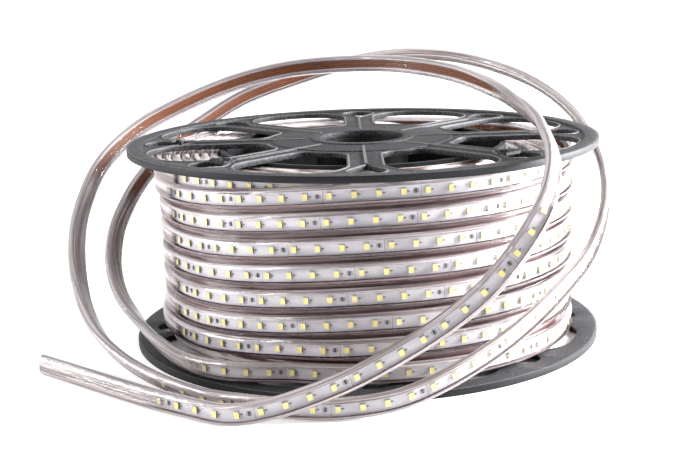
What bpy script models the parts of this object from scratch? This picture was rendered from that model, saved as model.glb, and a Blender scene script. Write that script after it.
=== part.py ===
"""A loaded reel of flat LED rope light, standing on its lower flange.

Two moulded flanges, a core barrel and a spindle tube make the reel. The rope is wound on it in
even layers, and its free end makes two wide hoops round the reel and runs off along the floor.
Metres, +Z up, origin under the middle of the reel, front of the reel towards -Y.
"""
import math

import bmesh
import bpy
from mathutils import Vector

# Rope: a flat clear sheath, worn on edge
ROPE_WIDTH = 0.0155
ROPE_THICKNESS = 0.0075

# Winding
ROPE_LAYERS = 7
ROPE_ROWS = 8
ROW_SHOULDER = 0.0026
LAYER_GROOVE = 0.0016
WINDING_END_GAP = 0.0015

# Line of the outer layer, in degrees from the front, counted on over the turns. The last stretch
# tucks in behind the row below it.
ROW_START_RISE = 0.0005
ROW_RUNOUT = 0.0036
TURN_START = -60.0
FIRST_CLIMB = (-60.0, 5.0)
SECOND_CLIMB = (110.0, 175.0)
CLIMB_SHARE = 0.43
ROW_SWAY = 0.0016
FIRST_ROW_LIFT = 0.0020
FIRST_LIFT_END = (-26.0, -6.0)
LINE_START = 170.0
LINE_GROWTH = 7.5
TUCK_START = 300.0
TUCK_END = 365.0
TAIL_END = 375.0

# The outer layer lies a little deeper on the left side, apart from its first and last turn
SLACK = 0.0035
SLACK_MIDDLE = -90.0
SLACK_IN = (240.0, 330.0)
SLACK_OUT = (-130.0, -60.0)

# Where each inner layer's last turn steps to the next row: start, end, drop
END_STEPS = (
    (40.0, 95.0, 0.006), (-30.0, 35.0, 0.007), (-75.0, 150.0, 0.005),
    (15.0, 80.0, 0.008), (-40.0, 20.0, 0.006), (55.0, 120.0, 0.007),
)

# Reel
FLANGE_RADIUS = 0.1875
FLANGE_THICKNESS = 0.0050
FLANGE_SPACING = 0.1490
WEB_THICKNESS = 0.0034
RIM_LIP_WIDTH = 0.0115
BARREL_RADIUS = 0.1149
BARREL_WALL = 0.0040
BORE_RADIUS = 0.0335
SPINDLE_WALL = 0.0035

# Flange relief
BOSS_WIDTH = 0.0080
HUB_DISC_RADIUS = 0.0720
HUB_DISC_RISE = 0.0008
SPOKES = 8
SPOKE_WIDTH = 0.0270
RIB_WIDTH = 0.0022
RIB_RISE = 0.0005
WINDOW_HUB_MARGIN = 0.0070
WINDOW_RIM_MARGIN = 0.0030
WINDOW_OUTER_FILLET = 0.0320
WINDOW_INNER_FILLET = 0.0130
SPOKE_HOLE_RADIUS = 0.0130
SPOKE_HOLE_TIP = 0.0240

# Fits
TOUCH_GAP = 0.0003
WRAP_GAP = 0.0032
WRAP_LIFT = 0.0005

# Facets
FLANGE_SEGMENTS = 64
WINDING_SEGMENTS = 48
TUBE_SEGMENTS = 40

# Worked out from the values above
OVERALL_HEIGHT = FLANGE_SPACING + 2 * FLANGE_THICKNESS
WINDING_BORE = BARREL_RADIUS + TOUCH_GAP
WINDING_RADIUS = WINDING_BORE + ROPE_LAYERS * ROPE_THICKNESS
WRAP_RADIUS = WINDING_RADIUS - ROPE_THICKNESS / 2
WRAP_HEIGHT = FLANGE_THICKNESS + WRAP_LIFT + ROPE_WIDTH / 2
LOWEST_ROW_RADIUS = WINDING_RADIUS - ROPE_THICKNESS - WRAP_GAP
GROOVE_RADIUS = WINDING_RADIUS - ROPE_THICKNESS - TOUCH_GAP
TOP_ROW_HEIGHT = OVERALL_HEIGHT - FLANGE_THICKNESS - WRAP_LIFT - ROPE_WIDTH / 2
ROW_PITCH = (TOP_ROW_HEIGHT - WRAP_HEIGHT - ROW_RUNOUT) / (ROPE_ROWS - 1)
LAST_TURN = 360.0 * (ROPE_ROWS - 1)
LINE_TUCK = (LAST_TURN + TUCK_START, LAST_TURN + TUCK_END)
LINE_END = LAST_TURN + TAIL_END

# Free end of the rope: the last turn on the lowest row, as angles from the front, then the route
WRAP_START = math.radians(170)
WRAP_END = math.radians(-12)
WRAP_STEPS = 14
ROUTE_SPACING = 0.0455
ROUTE_MM = [
    (-58, -154.5, 13.3), (-83, -152, 13.3), (-108, -145, 13.4), (-130, -129, 13.6),
    (-149, -103, 14.5), (-169, -66, 17), (-187, -31, 24), (-202, -5, 37),
    (-211, 24, 55), (-212, 56, 75), (-206, 83, 93), (-195, 108, 111),
    (-173, 145, 134), (-141, 174, 154), (-106, 193, 172.5), (-63, 207, 186),
    (-14, 214, 198.5), (38, 215, 206.5), (88, 206, 204.5), (130, 186, 195),
    (166, 149, 180), (189, 95, 159), (197, 28, 133), (190, -32, 105.5),
    (168, -89, 80), (139, -130, 61.5), (105, -165, 43.5), (66, -195, 27.5),
    (22, -213, 13), (-19, -218.5, 8.1), (-55, -215.5, 8.1), (-88, -203, 8.1),
    (-117, -186, 8.3), (-148, -168, 14), (-178, -139, 21), (-204, -99, 31),
    (-224, -50, 48), (-236, 0, 72), (-239, 48, 96), (-229, 98, 126),
    (-201, 137, 152), (-162, 161, 171), (-114, 178, 188), (-66, 184, 198),
    (-14, 179, 202), (38, 153, 202.5), (82, 96, 198.5), (110, 30, 191),
    (124, -28, 183), (130, -77, 177.5), (129.5, -120, 172), (127.5, -157, 165),
    (122.5, -185, 153.5), (114, -203, 136), (97, -213.5, 112), (75, -218.5, 87),
    (47, -221.5, 65), (17, -223.5, 47), (-14, -226, 31.5), (-45, -230, 20.5),
    (-73, -231, 13), (-99, -224.5, 8.5), (-128, -205, 8.1), (-160, -180, 8.1),
    (-194, -149.5, 8.1), (-224, -122, 8.1), (-246, -102, 8.1),
]

# Colours as red, green, blue
CHARCOAL = (0.045, 0.046, 0.050)
DARK_CORE = (0.030, 0.030, 0.033)
CLEAR_SHEATH = (0.780, 0.755, 0.760)
WOUND_SHEATH = (0.640, 0.600, 0.610)


def clear_scene():
    """Removes whatever objects the open file holds."""
    for item in list(bpy.data.objects):
        bpy.data.objects.remove(item, do_unlink=True)


def plastic(name, colour, roughness, metallic=0.0):
    """Makes a Principled material."""
    material = bpy.data.materials.new(name)
    material.use_nodes = True
    shader = material.node_tree.nodes["Principled BSDF"]
    shader.inputs["Base Color"].default_value = (*colour, 1.0)
    shader.inputs["Roughness"].default_value = roughness
    shader.inputs["Metallic"].default_value = metallic
    return material


def add_object(name, mesh, material=None):
    """Links a mesh to the scene as a named object."""
    item = bpy.data.objects.new(name, mesh)
    bpy.context.scene.collection.objects.link(item)
    if material:
        mesh.materials.append(material)
    return item


def finish_mesh(name, shape, smooth_angle=35):
    """Turns a bmesh into a mesh that is shaded smooth up to an angle."""
    bmesh.ops.recalc_face_normals(shape, faces=shape.faces)
    mesh = bpy.data.meshes.new(name)
    shape.to_mesh(mesh)
    shape.free()
    mesh.shade_smooth()
    mesh.set_sharp_from_angle(angle=math.radians(smooth_angle))
    return mesh


def turned_mesh(name, profile, segments):
    """Spins a closed profile of radius and height about the Z axis."""
    shape = bmesh.new()
    corners = [shape.verts.new((radius, 0.0, height)) for radius, height in profile]
    edges = [shape.edges.new((a, b)) for a, b in zip(corners, corners[1:] + corners[:1])]
    bmesh.ops.spin(
        shape, geom=corners + edges, cent=(0, 0, 0), axis=(0, 0, 1),
        angle=2 * math.pi, steps=segments, use_merge=True, use_duplicate=False,
    )
    bmesh.ops.remove_doubles(shape, verts=shape.verts, dist=0.000005)
    return finish_mesh(name, shape)


def prism_mesh(name, outlines, low, high):
    """Extrudes flat outlines, lists of x and y, from one height to another."""
    shape = bmesh.new()
    for outline in outlines:
        corners = [shape.verts.new((x, y, low)) for x, y in outline]
        face = shape.faces.new(corners)
        grown = bmesh.ops.extrude_face_region(shape, geom=[face])
        risen = [item for item in grown["geom"] if isinstance(item, bmesh.types.BMVert)]
        bmesh.ops.translate(shape, verts=risen, vec=(0, 0, high - low))
    return finish_mesh(name, shape)


def turn(point, angle):
    """Turns an x, y point about the origin."""
    x, y = point
    return (
        x * math.cos(angle) - y * math.sin(angle),
        x * math.sin(angle) + y * math.cos(angle),
    )


def arc(centre, radius, start, end, steps):
    """Points along an arc, both ends among them."""
    points = []
    for step in range(steps + 1):
        angle = start + (end - start) * step / steps
        points.append((centre[0] + radius * math.cos(angle), centre[1] + radius * math.sin(angle)))
    return points


def window_outline(middle):
    """One window between two spokes, with its middle at the given angle.

    The lower half is made against a spoke that runs along +X, then mirrored to the next spoke.
    """
    side = SPOKE_WIDTH / 2
    inner = HUB_DISC_RADIUS + WINDOW_HUB_MARGIN
    outer = FLANGE_RADIUS - RIM_LIP_WIDTH - WINDOW_RIM_MARGIN
    half_turn = math.pi / SPOKES

    inner_reach = inner + WINDOW_INNER_FILLET
    inner_side = side + WINDOW_INNER_FILLET
    inner_centre = (math.sqrt(inner_reach ** 2 - inner_side ** 2), inner_side)
    inner_angle = math.atan2(inner_centre[1], inner_centre[0])

    outer_reach = outer - WINDOW_OUTER_FILLET
    outer_side = side + WINDOW_OUTER_FILLET
    outer_centre = (math.sqrt(outer_reach ** 2 - outer_side ** 2), outer_side)
    outer_angle = math.atan2(outer_centre[1], outer_centre[0])

    half = arc((0, 0), inner, half_turn, inner_angle + math.pi / 90, 1)[:1]
    half += arc(inner_centre, WINDOW_INNER_FILLET, math.pi + inner_angle, 1.5 * math.pi, 3)
    half += arc(outer_centre, WINDOW_OUTER_FILLET, -math.pi / 2, outer_angle, 5)
    half += arc((0, 0), outer, outer_angle, half_turn, 2)[1:]
    lower = [turn(point, -half_turn) for point in half]
    upper = [(x, -y) for x, y in reversed(lower[1:-1])]
    return [turn(point, middle) for point in lower + upper]


def spoke_hole_outline(angle):
    """The drop-shaped hole at a spoke's outer end, its tip towards the hub."""
    outer = FLANGE_RADIUS - RIM_LIP_WIDTH - WINDOW_RIM_MARGIN
    centre = outer - SPOKE_HOLE_RADIUS
    opening = math.acos(SPOKE_HOLE_RADIUS / SPOKE_HOLE_TIP)
    start = math.pi + opening
    round_end = arc((centre, 0), SPOKE_HOLE_RADIUS, start, start + 2 * (math.pi - opening), 7)
    outline = [(centre - SPOKE_HOLE_TIP, 0)] + round_end
    return [turn(point, angle) for point in outline]


def rib_outline(angle):
    """The thin rib along a spoke, from beside the boss to the hole at the spoke's end."""
    start = BORE_RADIUS + BOSS_WIDTH + 2 * RIB_WIDTH
    end = (
        FLANGE_RADIUS - RIM_LIP_WIDTH - WINDOW_RIM_MARGIN
        - SPOKE_HOLE_RADIUS - SPOKE_HOLE_TIP - RIB_WIDTH
    )
    half = RIB_WIDTH / 2
    corners = [(start, -half), (end, -half), (end, half), (start, half)]
    return [turn(point, angle) for point in corners]


def flange_profile():
    """Half section of a flange, its inner face at height 0 and its outer face above."""
    boss = BORE_RADIUS + BOSS_WIDTH
    lip = FLANGE_RADIUS - RIM_LIP_WIDTH
    disc = WEB_THICKNESS + HUB_DISC_RISE
    return [
        (BORE_RADIUS, 0.0), (FLANGE_RADIUS, 0.0), (FLANGE_RADIUS, FLANGE_THICKNESS),
        (lip, FLANGE_THICKNESS), (lip, WEB_THICKNESS), (HUB_DISC_RADIUS, WEB_THICKNESS),
        (HUB_DISC_RADIUS, disc), (boss, disc), (boss, FLANGE_THICKNESS),
        (BORE_RADIUS, FLANGE_THICKNESS),
    ]


def hide_tool(item):
    """Marks an object as a shaping tool that isn't part of the reel."""
    item.hide_render = True
    item.display_type = "WIRE"


def cut_or_join(target, tool, operation):
    """Adds an exact Boolean of one object by another."""
    modifier = target.modifiers.new(operation.lower(), "BOOLEAN")
    modifier.operation = operation
    modifier.solver = "EXACT"
    modifier.object = tool


def flange_tools():
    """The windows with the spoke holes, and the ribs, as two shaping objects."""
    step = 2 * math.pi / SPOKES
    holes = [window_outline((number + 0.5) * step) for number in range(SPOKES)]
    holes += [spoke_hole_outline(number * step) for number in range(SPOKES)]
    ribs = [rib_outline(number * step) for number in range(SPOKES)]
    low = -FLANGE_THICKNESS
    high = 2 * FLANGE_THICKNESS
    hole_tool = add_object("flange_holes_tool", prism_mesh("flange_holes", holes, low, high))
    rib_low = WEB_THICKNESS / 2
    rib_high = WEB_THICKNESS + HUB_DISC_RISE + RIB_RISE
    rib_tool = add_object("flange_ribs_tool", prism_mesh("flange_ribs", ribs, rib_low, rib_high))
    return hole_tool, rib_tool


def make_flange(name, material, height, upside_down):
    """One flange with its own shaping tools, placed by its inner face."""
    flange = add_object(name, turned_mesh(name, flange_profile(), FLANGE_SEGMENTS), material)
    hole_tool, rib_tool = flange_tools()
    cut_or_join(flange, rib_tool, "UNION")
    cut_or_join(flange, hole_tool, "DIFFERENCE")
    for tool in (hole_tool, rib_tool):
        hide_tool(tool)
        tool.parent = flange
    flange.location = (0, 0, height)
    if upside_down:
        flange.rotation_euler = (math.pi, 0, 0)
    return flange


def make_tube(name, material, outer, wall):
    """A plain tube that stands between the two flanges."""
    low = FLANGE_THICKNESS + TOUCH_GAP
    high = OVERALL_HEIGHT - FLANGE_THICKNESS - TOUCH_GAP
    profile = [(outer - wall, low), (outer, low), (outer, high), (outer - wall, high)]
    return add_object(name, turned_mesh(name, profile, TUBE_SEGMENTS), material)


def eased(value, start, end):
    """A smooth step from 0 at start to 1 at end."""
    share = min(1.0, max(0.0, (value - start) / (end - start)))
    return share * share * (3.0 - 2.0 * share)


def row_height(row, angle):
    """Height of the rope on one row, at degrees within the turn, with its two short climbs."""
    climbs = eased(angle, *FIRST_CLIMB) - 1.0 + eased(angle, *SECOND_CLIMB)
    share = CLIMB_SHARE * climbs + (1.0 - 2.0 * CLIMB_SHARE) * angle / 360.0
    height = WRAP_HEIGHT + ROW_START_RISE + ROW_PITCH * (row + share)
    if row == 1:
        height += FIRST_ROW_LIFT * (1.0 - eased(angle, *FIRST_LIFT_END))
    return height + ROW_SWAY * math.sin(math.radians(angle))


def line_height(angle):
    """Height of the rope's middle on the outer layer, at degrees counted on over the turns."""
    row = math.floor((angle - TURN_START) / 360.0)
    local = angle - 360.0 * row
    if row == 0:
        joined = row_height(1, TURN_START)
        climb = eased(local, LINE_START, TURN_START + 360.0)
        return WRAP_HEIGHT + (joined - WRAP_HEIGHT) * climb
    return min(row_height(row, local), TOP_ROW_HEIGHT)


def slack_depth(angle):
    """How much deeper the outer layer lies at an angle."""
    side = max(0.0, math.cos(math.radians(angle - SLACK_MIDDLE))) ** 2
    fading = 1.0 - eased(angle - LAST_TURN, *SLACK_OUT)
    return SLACK * side * eased(angle, *SLACK_IN) * fading


def groove_radius(angle):
    """Depth of the groove under a row. The free end's last turn lies in the deep part."""
    share = eased(angle, LINE_START + 360.0, LINE_START + 390.0)
    return LOWEST_ROW_RADIUS + (GROOVE_RADIUS - LOWEST_ROW_RADIUS) * share


def row_section(angle, low, high):
    """Six points over one row, from the groove under it to the groove above it."""
    tuck = eased(angle, *LINE_TUCK)
    grown = min(1.0, (angle - LINE_START) / LINE_GROWTH)
    below = groove_radius(angle)
    above = groove_radius(angle + 360.0)
    crest = WINDING_RADIUS - slack_depth(angle) - tuck * (WINDING_RADIUS - GROOVE_RADIUS)
    crest = below + (crest - below) * grown
    tall = high - low
    shoulder = max(crest - ROW_SHOULDER, min(below, above))
    return [
        (below, low), (shoulder, low + 0.05 * tall), (crest, low + 0.22 * tall),
        (crest, high - 0.22 * tall), (shoulder, high - 0.05 * tall), (above, high),
    ]


def outer_section(angle, floor, roof):
    """Outside of the winding at one place, from the lowest groove to the highest.

    Each turn of the rope has its own place in the list. A turn that isn't there shrinks to a point.
    """
    spans = []
    for number in range(ROPE_ROWS + 1):
        reached = angle + 360.0 * (number - 1)
        if reached < LINE_START:
            spans.append((reached, floor, floor))
        elif reached > LINE_END:
            spans.append((reached, roof, roof))
        else:
            middle = line_height(reached)
            low = max(floor, middle - ROPE_WIDTH / 2)
            spans.append((reached, low, min(roof, middle + ROPE_WIDTH / 2)))
    points = []
    for number, (reached, low, high) in enumerate(spans):
        if number and low < spans[number - 1][2] and reached <= LINE_END:
            share = eased(reached, *LINE_TUCK)
            under = spans[number - 1][2]
            low = (under + low) / 2 + (under - low) / 2 * share
        if number < len(spans) - 1 and spans[number + 1][0] <= LINE_END:
            share = eased(spans[number + 1][0], *LINE_TUCK)
            over = spans[number + 1][1]
            if over < high:
                high = (high + over) / 2 + (high - over) / 2 * share
        if reached < LINE_START:
            points += [(LOWEST_ROW_RADIUS, floor)] * 6
        elif reached > LINE_END:
            points += [(GROOVE_RADIUS, roof)] * 6
        else:
            points += row_section(reached, low, high)
    return points


def end_turn_heights(angle, edge, inward):
    """Height of each inner layer's last turn, with the step where it goes to the next row."""
    local = (angle + 180.0) % 360.0 - 180.0
    heights = []
    for number in range(ROPE_LAYERS - 1):
        start, end, drop = END_STEPS[number % len(END_STEPS)]
        fall = drop * max(0.0, eased(local, start, end) - eased(local, 150.0, 180.0))
        heights.append(edge + inward * fall)
    return heights


def end_section(angle, edge, inward):
    """The winding's end at one place, from its bore outward: a crest and a groove a layer."""
    heights = end_turn_heights(angle, edge, inward)
    layer = (WINDING_RADIUS - WINDING_BORE) / ROPE_LAYERS
    points = [(WINDING_BORE, heights[0] + inward * LAYER_GROOVE)]
    for number, height in enumerate(heights):
        points.append((WINDING_BORE + (number + 0.5) * layer, height))
        if number < len(heights) - 1:
            deeper = max(inward * height, inward * heights[number + 1]) * inward
            points.append((WINDING_BORE + (number + 1) * layer, deeper + inward * LAYER_GROOVE))
    return points


def winding_section(angle):
    """The whole closed section of the winding at one place, as radius and height."""
    low = FLANGE_THICKNESS + WINDING_END_GAP
    high = OVERALL_HEIGHT - FLANGE_THICKNESS - WINDING_END_GAP
    lower_end = end_section(angle, low, 1.0)
    upper_end = end_section(angle, high, -1.0)
    outside = outer_section(angle, low + LAYER_GROOVE, high)
    corner_low = [(LOWEST_ROW_RADIUS, low + LAYER_GROOVE)]
    corner_high = [(GROOVE_RADIUS, high)]
    return lower_end[:-1] + corner_low + outside + corner_high + upper_end[::-1]


def make_winding(material):
    """The wound rope as one solid, its outer layer climbing row by row."""
    shape = bmesh.new()
    rings = []
    for step in range(WINDING_SEGMENTS + 1):
        angle = LINE_START + 360.0 * step / WINDING_SEGMENTS
        turned = math.radians(angle)
        ring = []
        for radius, height in winding_section(angle):
            ring.append(shape.verts.new((
                radius * math.sin(turned), -radius * math.cos(turned), height,
            )))
        rings.append(ring)
    for before, after in zip(rings, rings[1:]):
        for number in range(len(before)):
            other = (number + 1) % len(before)
            shape.faces.new((before[number], before[other], after[other], after[number]))
    bmesh.ops.remove_doubles(shape, verts=shape.verts, dist=0.00002)
    bmesh.ops.dissolve_degenerate(shape, edges=shape.edges, dist=0.00002)
    bmesh.ops.triangulate(shape, faces=shape.faces)
    return add_object("rope_winding", finish_mesh("rope_winding", shape), material)


def wrap_points():
    """The free rope's stretch on the lowest row, from behind the reel round to its front."""
    points = []
    for step in range(WRAP_STEPS + 1):
        angle = WRAP_START + (WRAP_END - WRAP_START) * step / WRAP_STEPS
        points.append(Vector((
            WRAP_RADIUS * math.sin(angle), -WRAP_RADIUS * math.cos(angle), WRAP_HEIGHT,
        )))
    return points


def smooth_line(points, steps=16):
    """A Catmull-Rom curve through the points."""
    ends = [2 * points[0] - points[1]] + points + [2 * points[-1] - points[-2]]
    line = []
    for before, start, end, after in zip(ends, ends[1:], ends[2:], ends[3:]):
        for step in range(steps):
            t = step / steps
            line.append(0.5 * (
                2 * start + (end - before) * t
                + (2 * before - 5 * start + 4 * end - after) * t ** 2
                + (3 * start - before - 3 * end + after) * t ** 3
            ))
    line.append(points[-1].copy())
    return line


def even_points(line, spacing):
    """Points at even distances along a line, both ends among them."""
    reach = [0.0]
    for start, end in zip(line, line[1:]):
        reach.append(reach[-1] + (end - start).length)
    count = round(reach[-1] / spacing)
    points = []
    place = 0
    for number in range(count + 1):
        wanted = reach[-1] * number / count
        while place < len(line) - 2 and reach[place + 1] < wanted:
            place += 1
        share = (wanted - reach[place]) / (reach[place + 1] - reach[place])
        points.append(line[place].lerp(line[place + 1], share))
    return points


def make_free_rope(material):
    """The free end of the rope, a flat curve on edge with rounded sides."""
    route = wrap_points() + [Vector(point) / 1000 for point in ROUTE_MM]
    points = even_points(smooth_line(route), ROUTE_SPACING)
    curve = bpy.data.curves.new("free_rope", "CURVE")
    curve.dimensions = "3D"
    curve.twist_mode = "Z_UP"
    curve.bevel_depth = ROPE_THICKNESS / 2
    curve.extrude = (ROPE_WIDTH - ROPE_THICKNESS) / 2
    curve.bevel_resolution = 2
    curve.use_fill_caps = True
    spline = curve.splines.new("POLY")
    spline.points.add(len(points) - 1)
    for knot, point in zip(spline.points, points):
        knot.co = (*point, 1.0)
    curve.materials.append(material)
    rope = bpy.data.objects.new("free_rope", curve)
    bpy.context.scene.collection.objects.link(rope)
    return rope


def main():
    """Builds the reel, the winding and the free end."""
    clear_scene()
    charcoal = plastic("reel_plastic", CHARCOAL, 0.42)
    core = plastic("core_plastic", DARK_CORE, 0.55)
    clear = plastic("clear_sheath", CLEAR_SHEATH, 0.12)
    wound = plastic("wound_sheath", WOUND_SHEATH, 0.16)
    make_flange("bottom_flange", charcoal, FLANGE_THICKNESS, True)
    make_flange("top_flange", charcoal, OVERALL_HEIGHT - FLANGE_THICKNESS, False)
    make_tube("core_barrel", core, BARREL_RADIUS, BARREL_WALL)
    make_tube("spindle_tube", core, BORE_RADIUS + SPINDLE_WALL, SPINDLE_WALL)
    make_winding(wound)
    make_free_rope(clear)


main()
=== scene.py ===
"""Looks of a reel of flat LED rope light.

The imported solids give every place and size. Round them this script makes the moulded flanges, the
wound rope with its circuit strip and LEDs, the end turns seen through the flange windows, and the
free end with its two hoops. Metres, +Z up, front of the reel towards -Y.
"""
import logging
import math
from bisect import bisect_right
from contextlib import contextmanager
from dataclasses import dataclass
from enum import Enum
from typing import Callable, Iterable, Iterator, NamedTuple, Sequence

import bmesh
import bpy
from mathutils import Matrix, Vector


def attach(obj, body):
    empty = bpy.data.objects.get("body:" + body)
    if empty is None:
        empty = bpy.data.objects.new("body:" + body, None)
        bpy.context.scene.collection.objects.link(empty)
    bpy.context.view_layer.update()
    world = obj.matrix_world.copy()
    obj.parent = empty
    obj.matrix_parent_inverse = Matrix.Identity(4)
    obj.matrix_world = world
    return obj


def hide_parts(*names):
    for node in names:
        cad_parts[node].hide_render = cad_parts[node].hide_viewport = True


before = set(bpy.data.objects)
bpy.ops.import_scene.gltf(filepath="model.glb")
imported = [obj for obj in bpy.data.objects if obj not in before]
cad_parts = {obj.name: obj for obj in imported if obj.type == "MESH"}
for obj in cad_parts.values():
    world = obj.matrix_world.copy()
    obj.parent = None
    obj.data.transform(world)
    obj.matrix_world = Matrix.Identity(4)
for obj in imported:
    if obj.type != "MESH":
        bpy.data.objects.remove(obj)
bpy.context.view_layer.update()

LOG = logging.getLogger("rope_reel")
MM = 0.001
BODY = "root"

Colour = tuple[float, float, float]
Outline = list[tuple[float, float]]
Table = tuple[tuple[float, float], ...]


class Slot(Enum):
    """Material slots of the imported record."""

    REEL = "reel_plastic"
    WOUND = "wound_sheath"
    CLEAR = "clear_sheath"
    STRIP = "circuit_strip"
    BACK = "strip_back"
    LED = "led"
    CHIP = "component"


class Signal:
    """A number in a shader tree, with arithmetic that adds Math nodes."""

    def __init__(self, bench: "NodeBench", socket: bpy.types.NodeSocket) -> None:
        """Wraps an output socket of the bench's tree."""
        self.bench = bench
        self.socket = socket

    def math(self, operation: str, *others: "Signal | float", first: bool = True) -> "Signal":
        """Adds one Math node.

        Args:
            operation: The Math node's operation.
            others: The other operands.
            first: Whether this signal comes before the others.

        Returns:
            The node's value.
        """
        operands = [self, *others] if first else [*others, self]
        return self.bench.maths(operation, *operands)

    def __add__(self, other: "Signal | float") -> "Signal":
        """Sum."""
        return self.math("ADD", other)

    __radd__ = __add__

    def __mul__(self, other: "Signal | float") -> "Signal":
        """Product."""
        return self.math("MULTIPLY", other)

    __rmul__ = __mul__

    def __sub__(self, other: "Signal | float") -> "Signal":
        """Difference."""
        return self.math("SUBTRACT", other)

    def __rsub__(self, other: "Signal | float") -> "Signal":
        """Reflected difference."""
        return self.math("SUBTRACT", other, first=False)

    def __truediv__(self, other: "Signal | float") -> "Signal":
        """Quotient."""
        return self.math("DIVIDE", other)

    def size(self) -> "Signal":
        """Absolute value."""
        return self.math("ABSOLUTE")

    def cycle(self) -> "Signal":
        """Fractional part."""
        return self.math("FRACT")

    def clamped(self) -> "Signal":
        """The value held between 0 and 1."""
        return self.bench.clamp(self)

    def step(self, start: float, end: float) -> "Signal":
        """A smooth rise from 0 at start to 1 at end, or a fall where end is lower.

        Args:
            start: The value that gives 0.
            end: The value that gives 1.

        Returns:
            The step.
        """
        falls = end < start
        low, high = (end, start) if falls else (start, end)
        sockets = {
            "Value": self, "From Min": low, "From Max": high,
            "To Min": 1.0 if falls else 0.0, "To Max": 0.0 if falls else 1.0,
        }
        return self.bench.signal(
            "ShaderNodeMapRange", {"interpolation_type": "SMOOTHSTEP"}, sockets, "Result"
        )


class NodeBench:
    """A shader tree, with one method that adds any node."""

    def __init__(self, tree: bpy.types.NodeTree) -> None:
        """Works on a tree."""
        self.tree = tree

    def node(self, kind: str, settings: dict, sockets: dict) -> bpy.types.Node:
        """Adds a node.

        Args:
            kind: The node's type.
            settings: Its properties, set first. A ramp's stops are pairs of place and colour.
            sockets: Values or links of its inputs, by name or number.

        Returns:
            The node.
        """
        made = self.tree.nodes.new(kind)
        for key, value in settings.items():
            if key == "stops":
                self._set_stops(made.color_ramp.elements, value)
            else:
                setattr(made, key, value)
        for key, value in sockets.items():
            self.feed(made.inputs[key], value)
        return made

    @staticmethod
    def _set_stops(elements: bpy.types.bpy_prop_collection, stops: Sequence) -> None:
        """Gives a ramp its stops.

        Args:
            elements: The ramp's own stops.
            stops: Pairs of place and colour.
        """
        while len(elements) < len(stops):
            elements.new(0.5)
        for element, (place, colour) in zip(elements, stops):
            element.position = place
            element.color = (*colour, 1.0)

    def feed(self, target: bpy.types.NodeSocket, value: object) -> None:
        """Links a signal or socket to an input, or sets the input's own value.

        Args:
            target: The input.
            value: A signal, a socket, a colour or a number.
        """
        if isinstance(value, Signal):
            value = value.socket
        if isinstance(value, bpy.types.NodeSocket):
            self.tree.links.new(value, target)
        elif isinstance(value, tuple) and target.type == "RGBA":
            target.default_value = (*value[:3], 1.0)
        else:
            target.default_value = value

    def signal(self, kind: str, settings: dict, sockets: dict, output: str | int = 0) -> Signal:
        """Adds a node and wraps one of its outputs."""
        return Signal(self, self.node(kind, settings, sockets).outputs[output])

    def maths(self, operation: str, *operands: Signal | float) -> Signal:
        """Adds a Math node."""
        sockets = dict(enumerate(operands))
        return self.signal("ShaderNodeMath", {"operation": operation}, sockets)

    def clamp(self, value: Signal | float) -> Signal:
        """A value held between 0 and 1."""
        return self.signal("ShaderNodeClamp", {}, {"Value": value, "Min": 0.0, "Max": 1.0})

    def split(self, vector: bpy.types.NodeSocket) -> tuple[Signal, Signal, Signal]:
        """The three parts of a vector."""
        made = self.node("ShaderNodeSeparateXYZ", {}, {"Vector": vector})
        return tuple(Signal(self, output) for output in made.outputs)

    def join(self, x: Signal | float, y: Signal | float, z: Signal | float) -> bpy.types.NodeSocket:
        """A vector from three numbers."""
        made = self.node("ShaderNodeCombineXYZ", {}, {"X": x, "Y": y, "Z": z})
        return made.outputs[0]

    def place(self) -> bpy.types.NodeSocket:
        """Object coordinates."""
        return self.node("ShaderNodeTexCoord", {}, {}).outputs["Object"]

    def stored(self, attribute: str) -> tuple[Signal, Signal, Signal]:
        """Along, across and outward, or up, as a rope or a small part stores them."""
        settings = {"attribute_type": "GEOMETRY", "attribute_name": attribute}
        return self.split(self.node("ShaderNodeAttribute", settings, {}).outputs["Vector"])

    def noise(self, vector: bpy.types.NodeSocket, scale: float, detail: float = 3.0) -> Signal:
        """Fractal noise between about 0.25 and 0.75."""
        sockets = {"Vector": vector, "Scale": scale, "Detail": detail}
        return self.signal("ShaderNodeTexNoise", {}, sockets, "Fac")

    def streaks(self, x: Signal, y: Signal, z: Signal | float, detail: float) -> Signal:
        """Noise over three numbers that are already scaled, each as fine as its streaks."""
        return self.noise(self.join(x, y, z), 1.0, detail)

    def blend(self, factor: Signal | float, first: object, second: object) -> bpy.types.NodeSocket:
        """Mixes two colours."""
        made = self.node("ShaderNodeMix", {"data_type": "RGBA"}, {0: factor, 6: first, 7: second})
        return made.outputs[2]

    def ramp(self, factor: Signal, *stops: tuple[float, Colour]) -> bpy.types.NodeSocket:
        """Colours along a ramp."""
        return self.node("ShaderNodeValToRGB", {"stops": stops}, {"Fac": factor}).outputs[0]


class ShaderBench(NodeBench):
    """A new material's tree and its shader."""

    def __init__(self, name: str, roughness: float, **constants: float) -> None:
        """Makes the material.

        Args:
            name: The material's name.
            roughness: The shader's roughness.
            constants: Other sockets of the shader that stay the same all over, with
                underscores for the spaces of their names.
        """
        self.material = bpy.data.materials.new(name)
        self.material.use_nodes = True
        super().__init__(self.material.node_tree)
        self.shader = self.tree.nodes["Principled BSDF"]
        self.finish(Roughness=roughness, **constants)

    def bump(self, height: Signal, distance: float, strength: float) -> None:
        """Gives the shader a bump.

        Args:
            height: The bump's height.
            distance: How high it stands.
            strength: How strongly it shows.
        """
        sockets = {"Height": height, "Distance": distance, "Strength": strength}
        made = self.node("ShaderNodeBump", {}, sockets)
        self.feed(self.shader.inputs["Normal"], made.outputs[0])

    def finish(self, **sockets: object) -> bpy.types.Material:
        """Feeds the shader's sockets.

        Args:
            sockets: Signals, colours or numbers, by socket.

        Returns:
            The material.
        """
        for name, value in sockets.items():
            self.feed(self.shader.inputs[name.replace("_", " ")], value)
        return self.material


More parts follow.
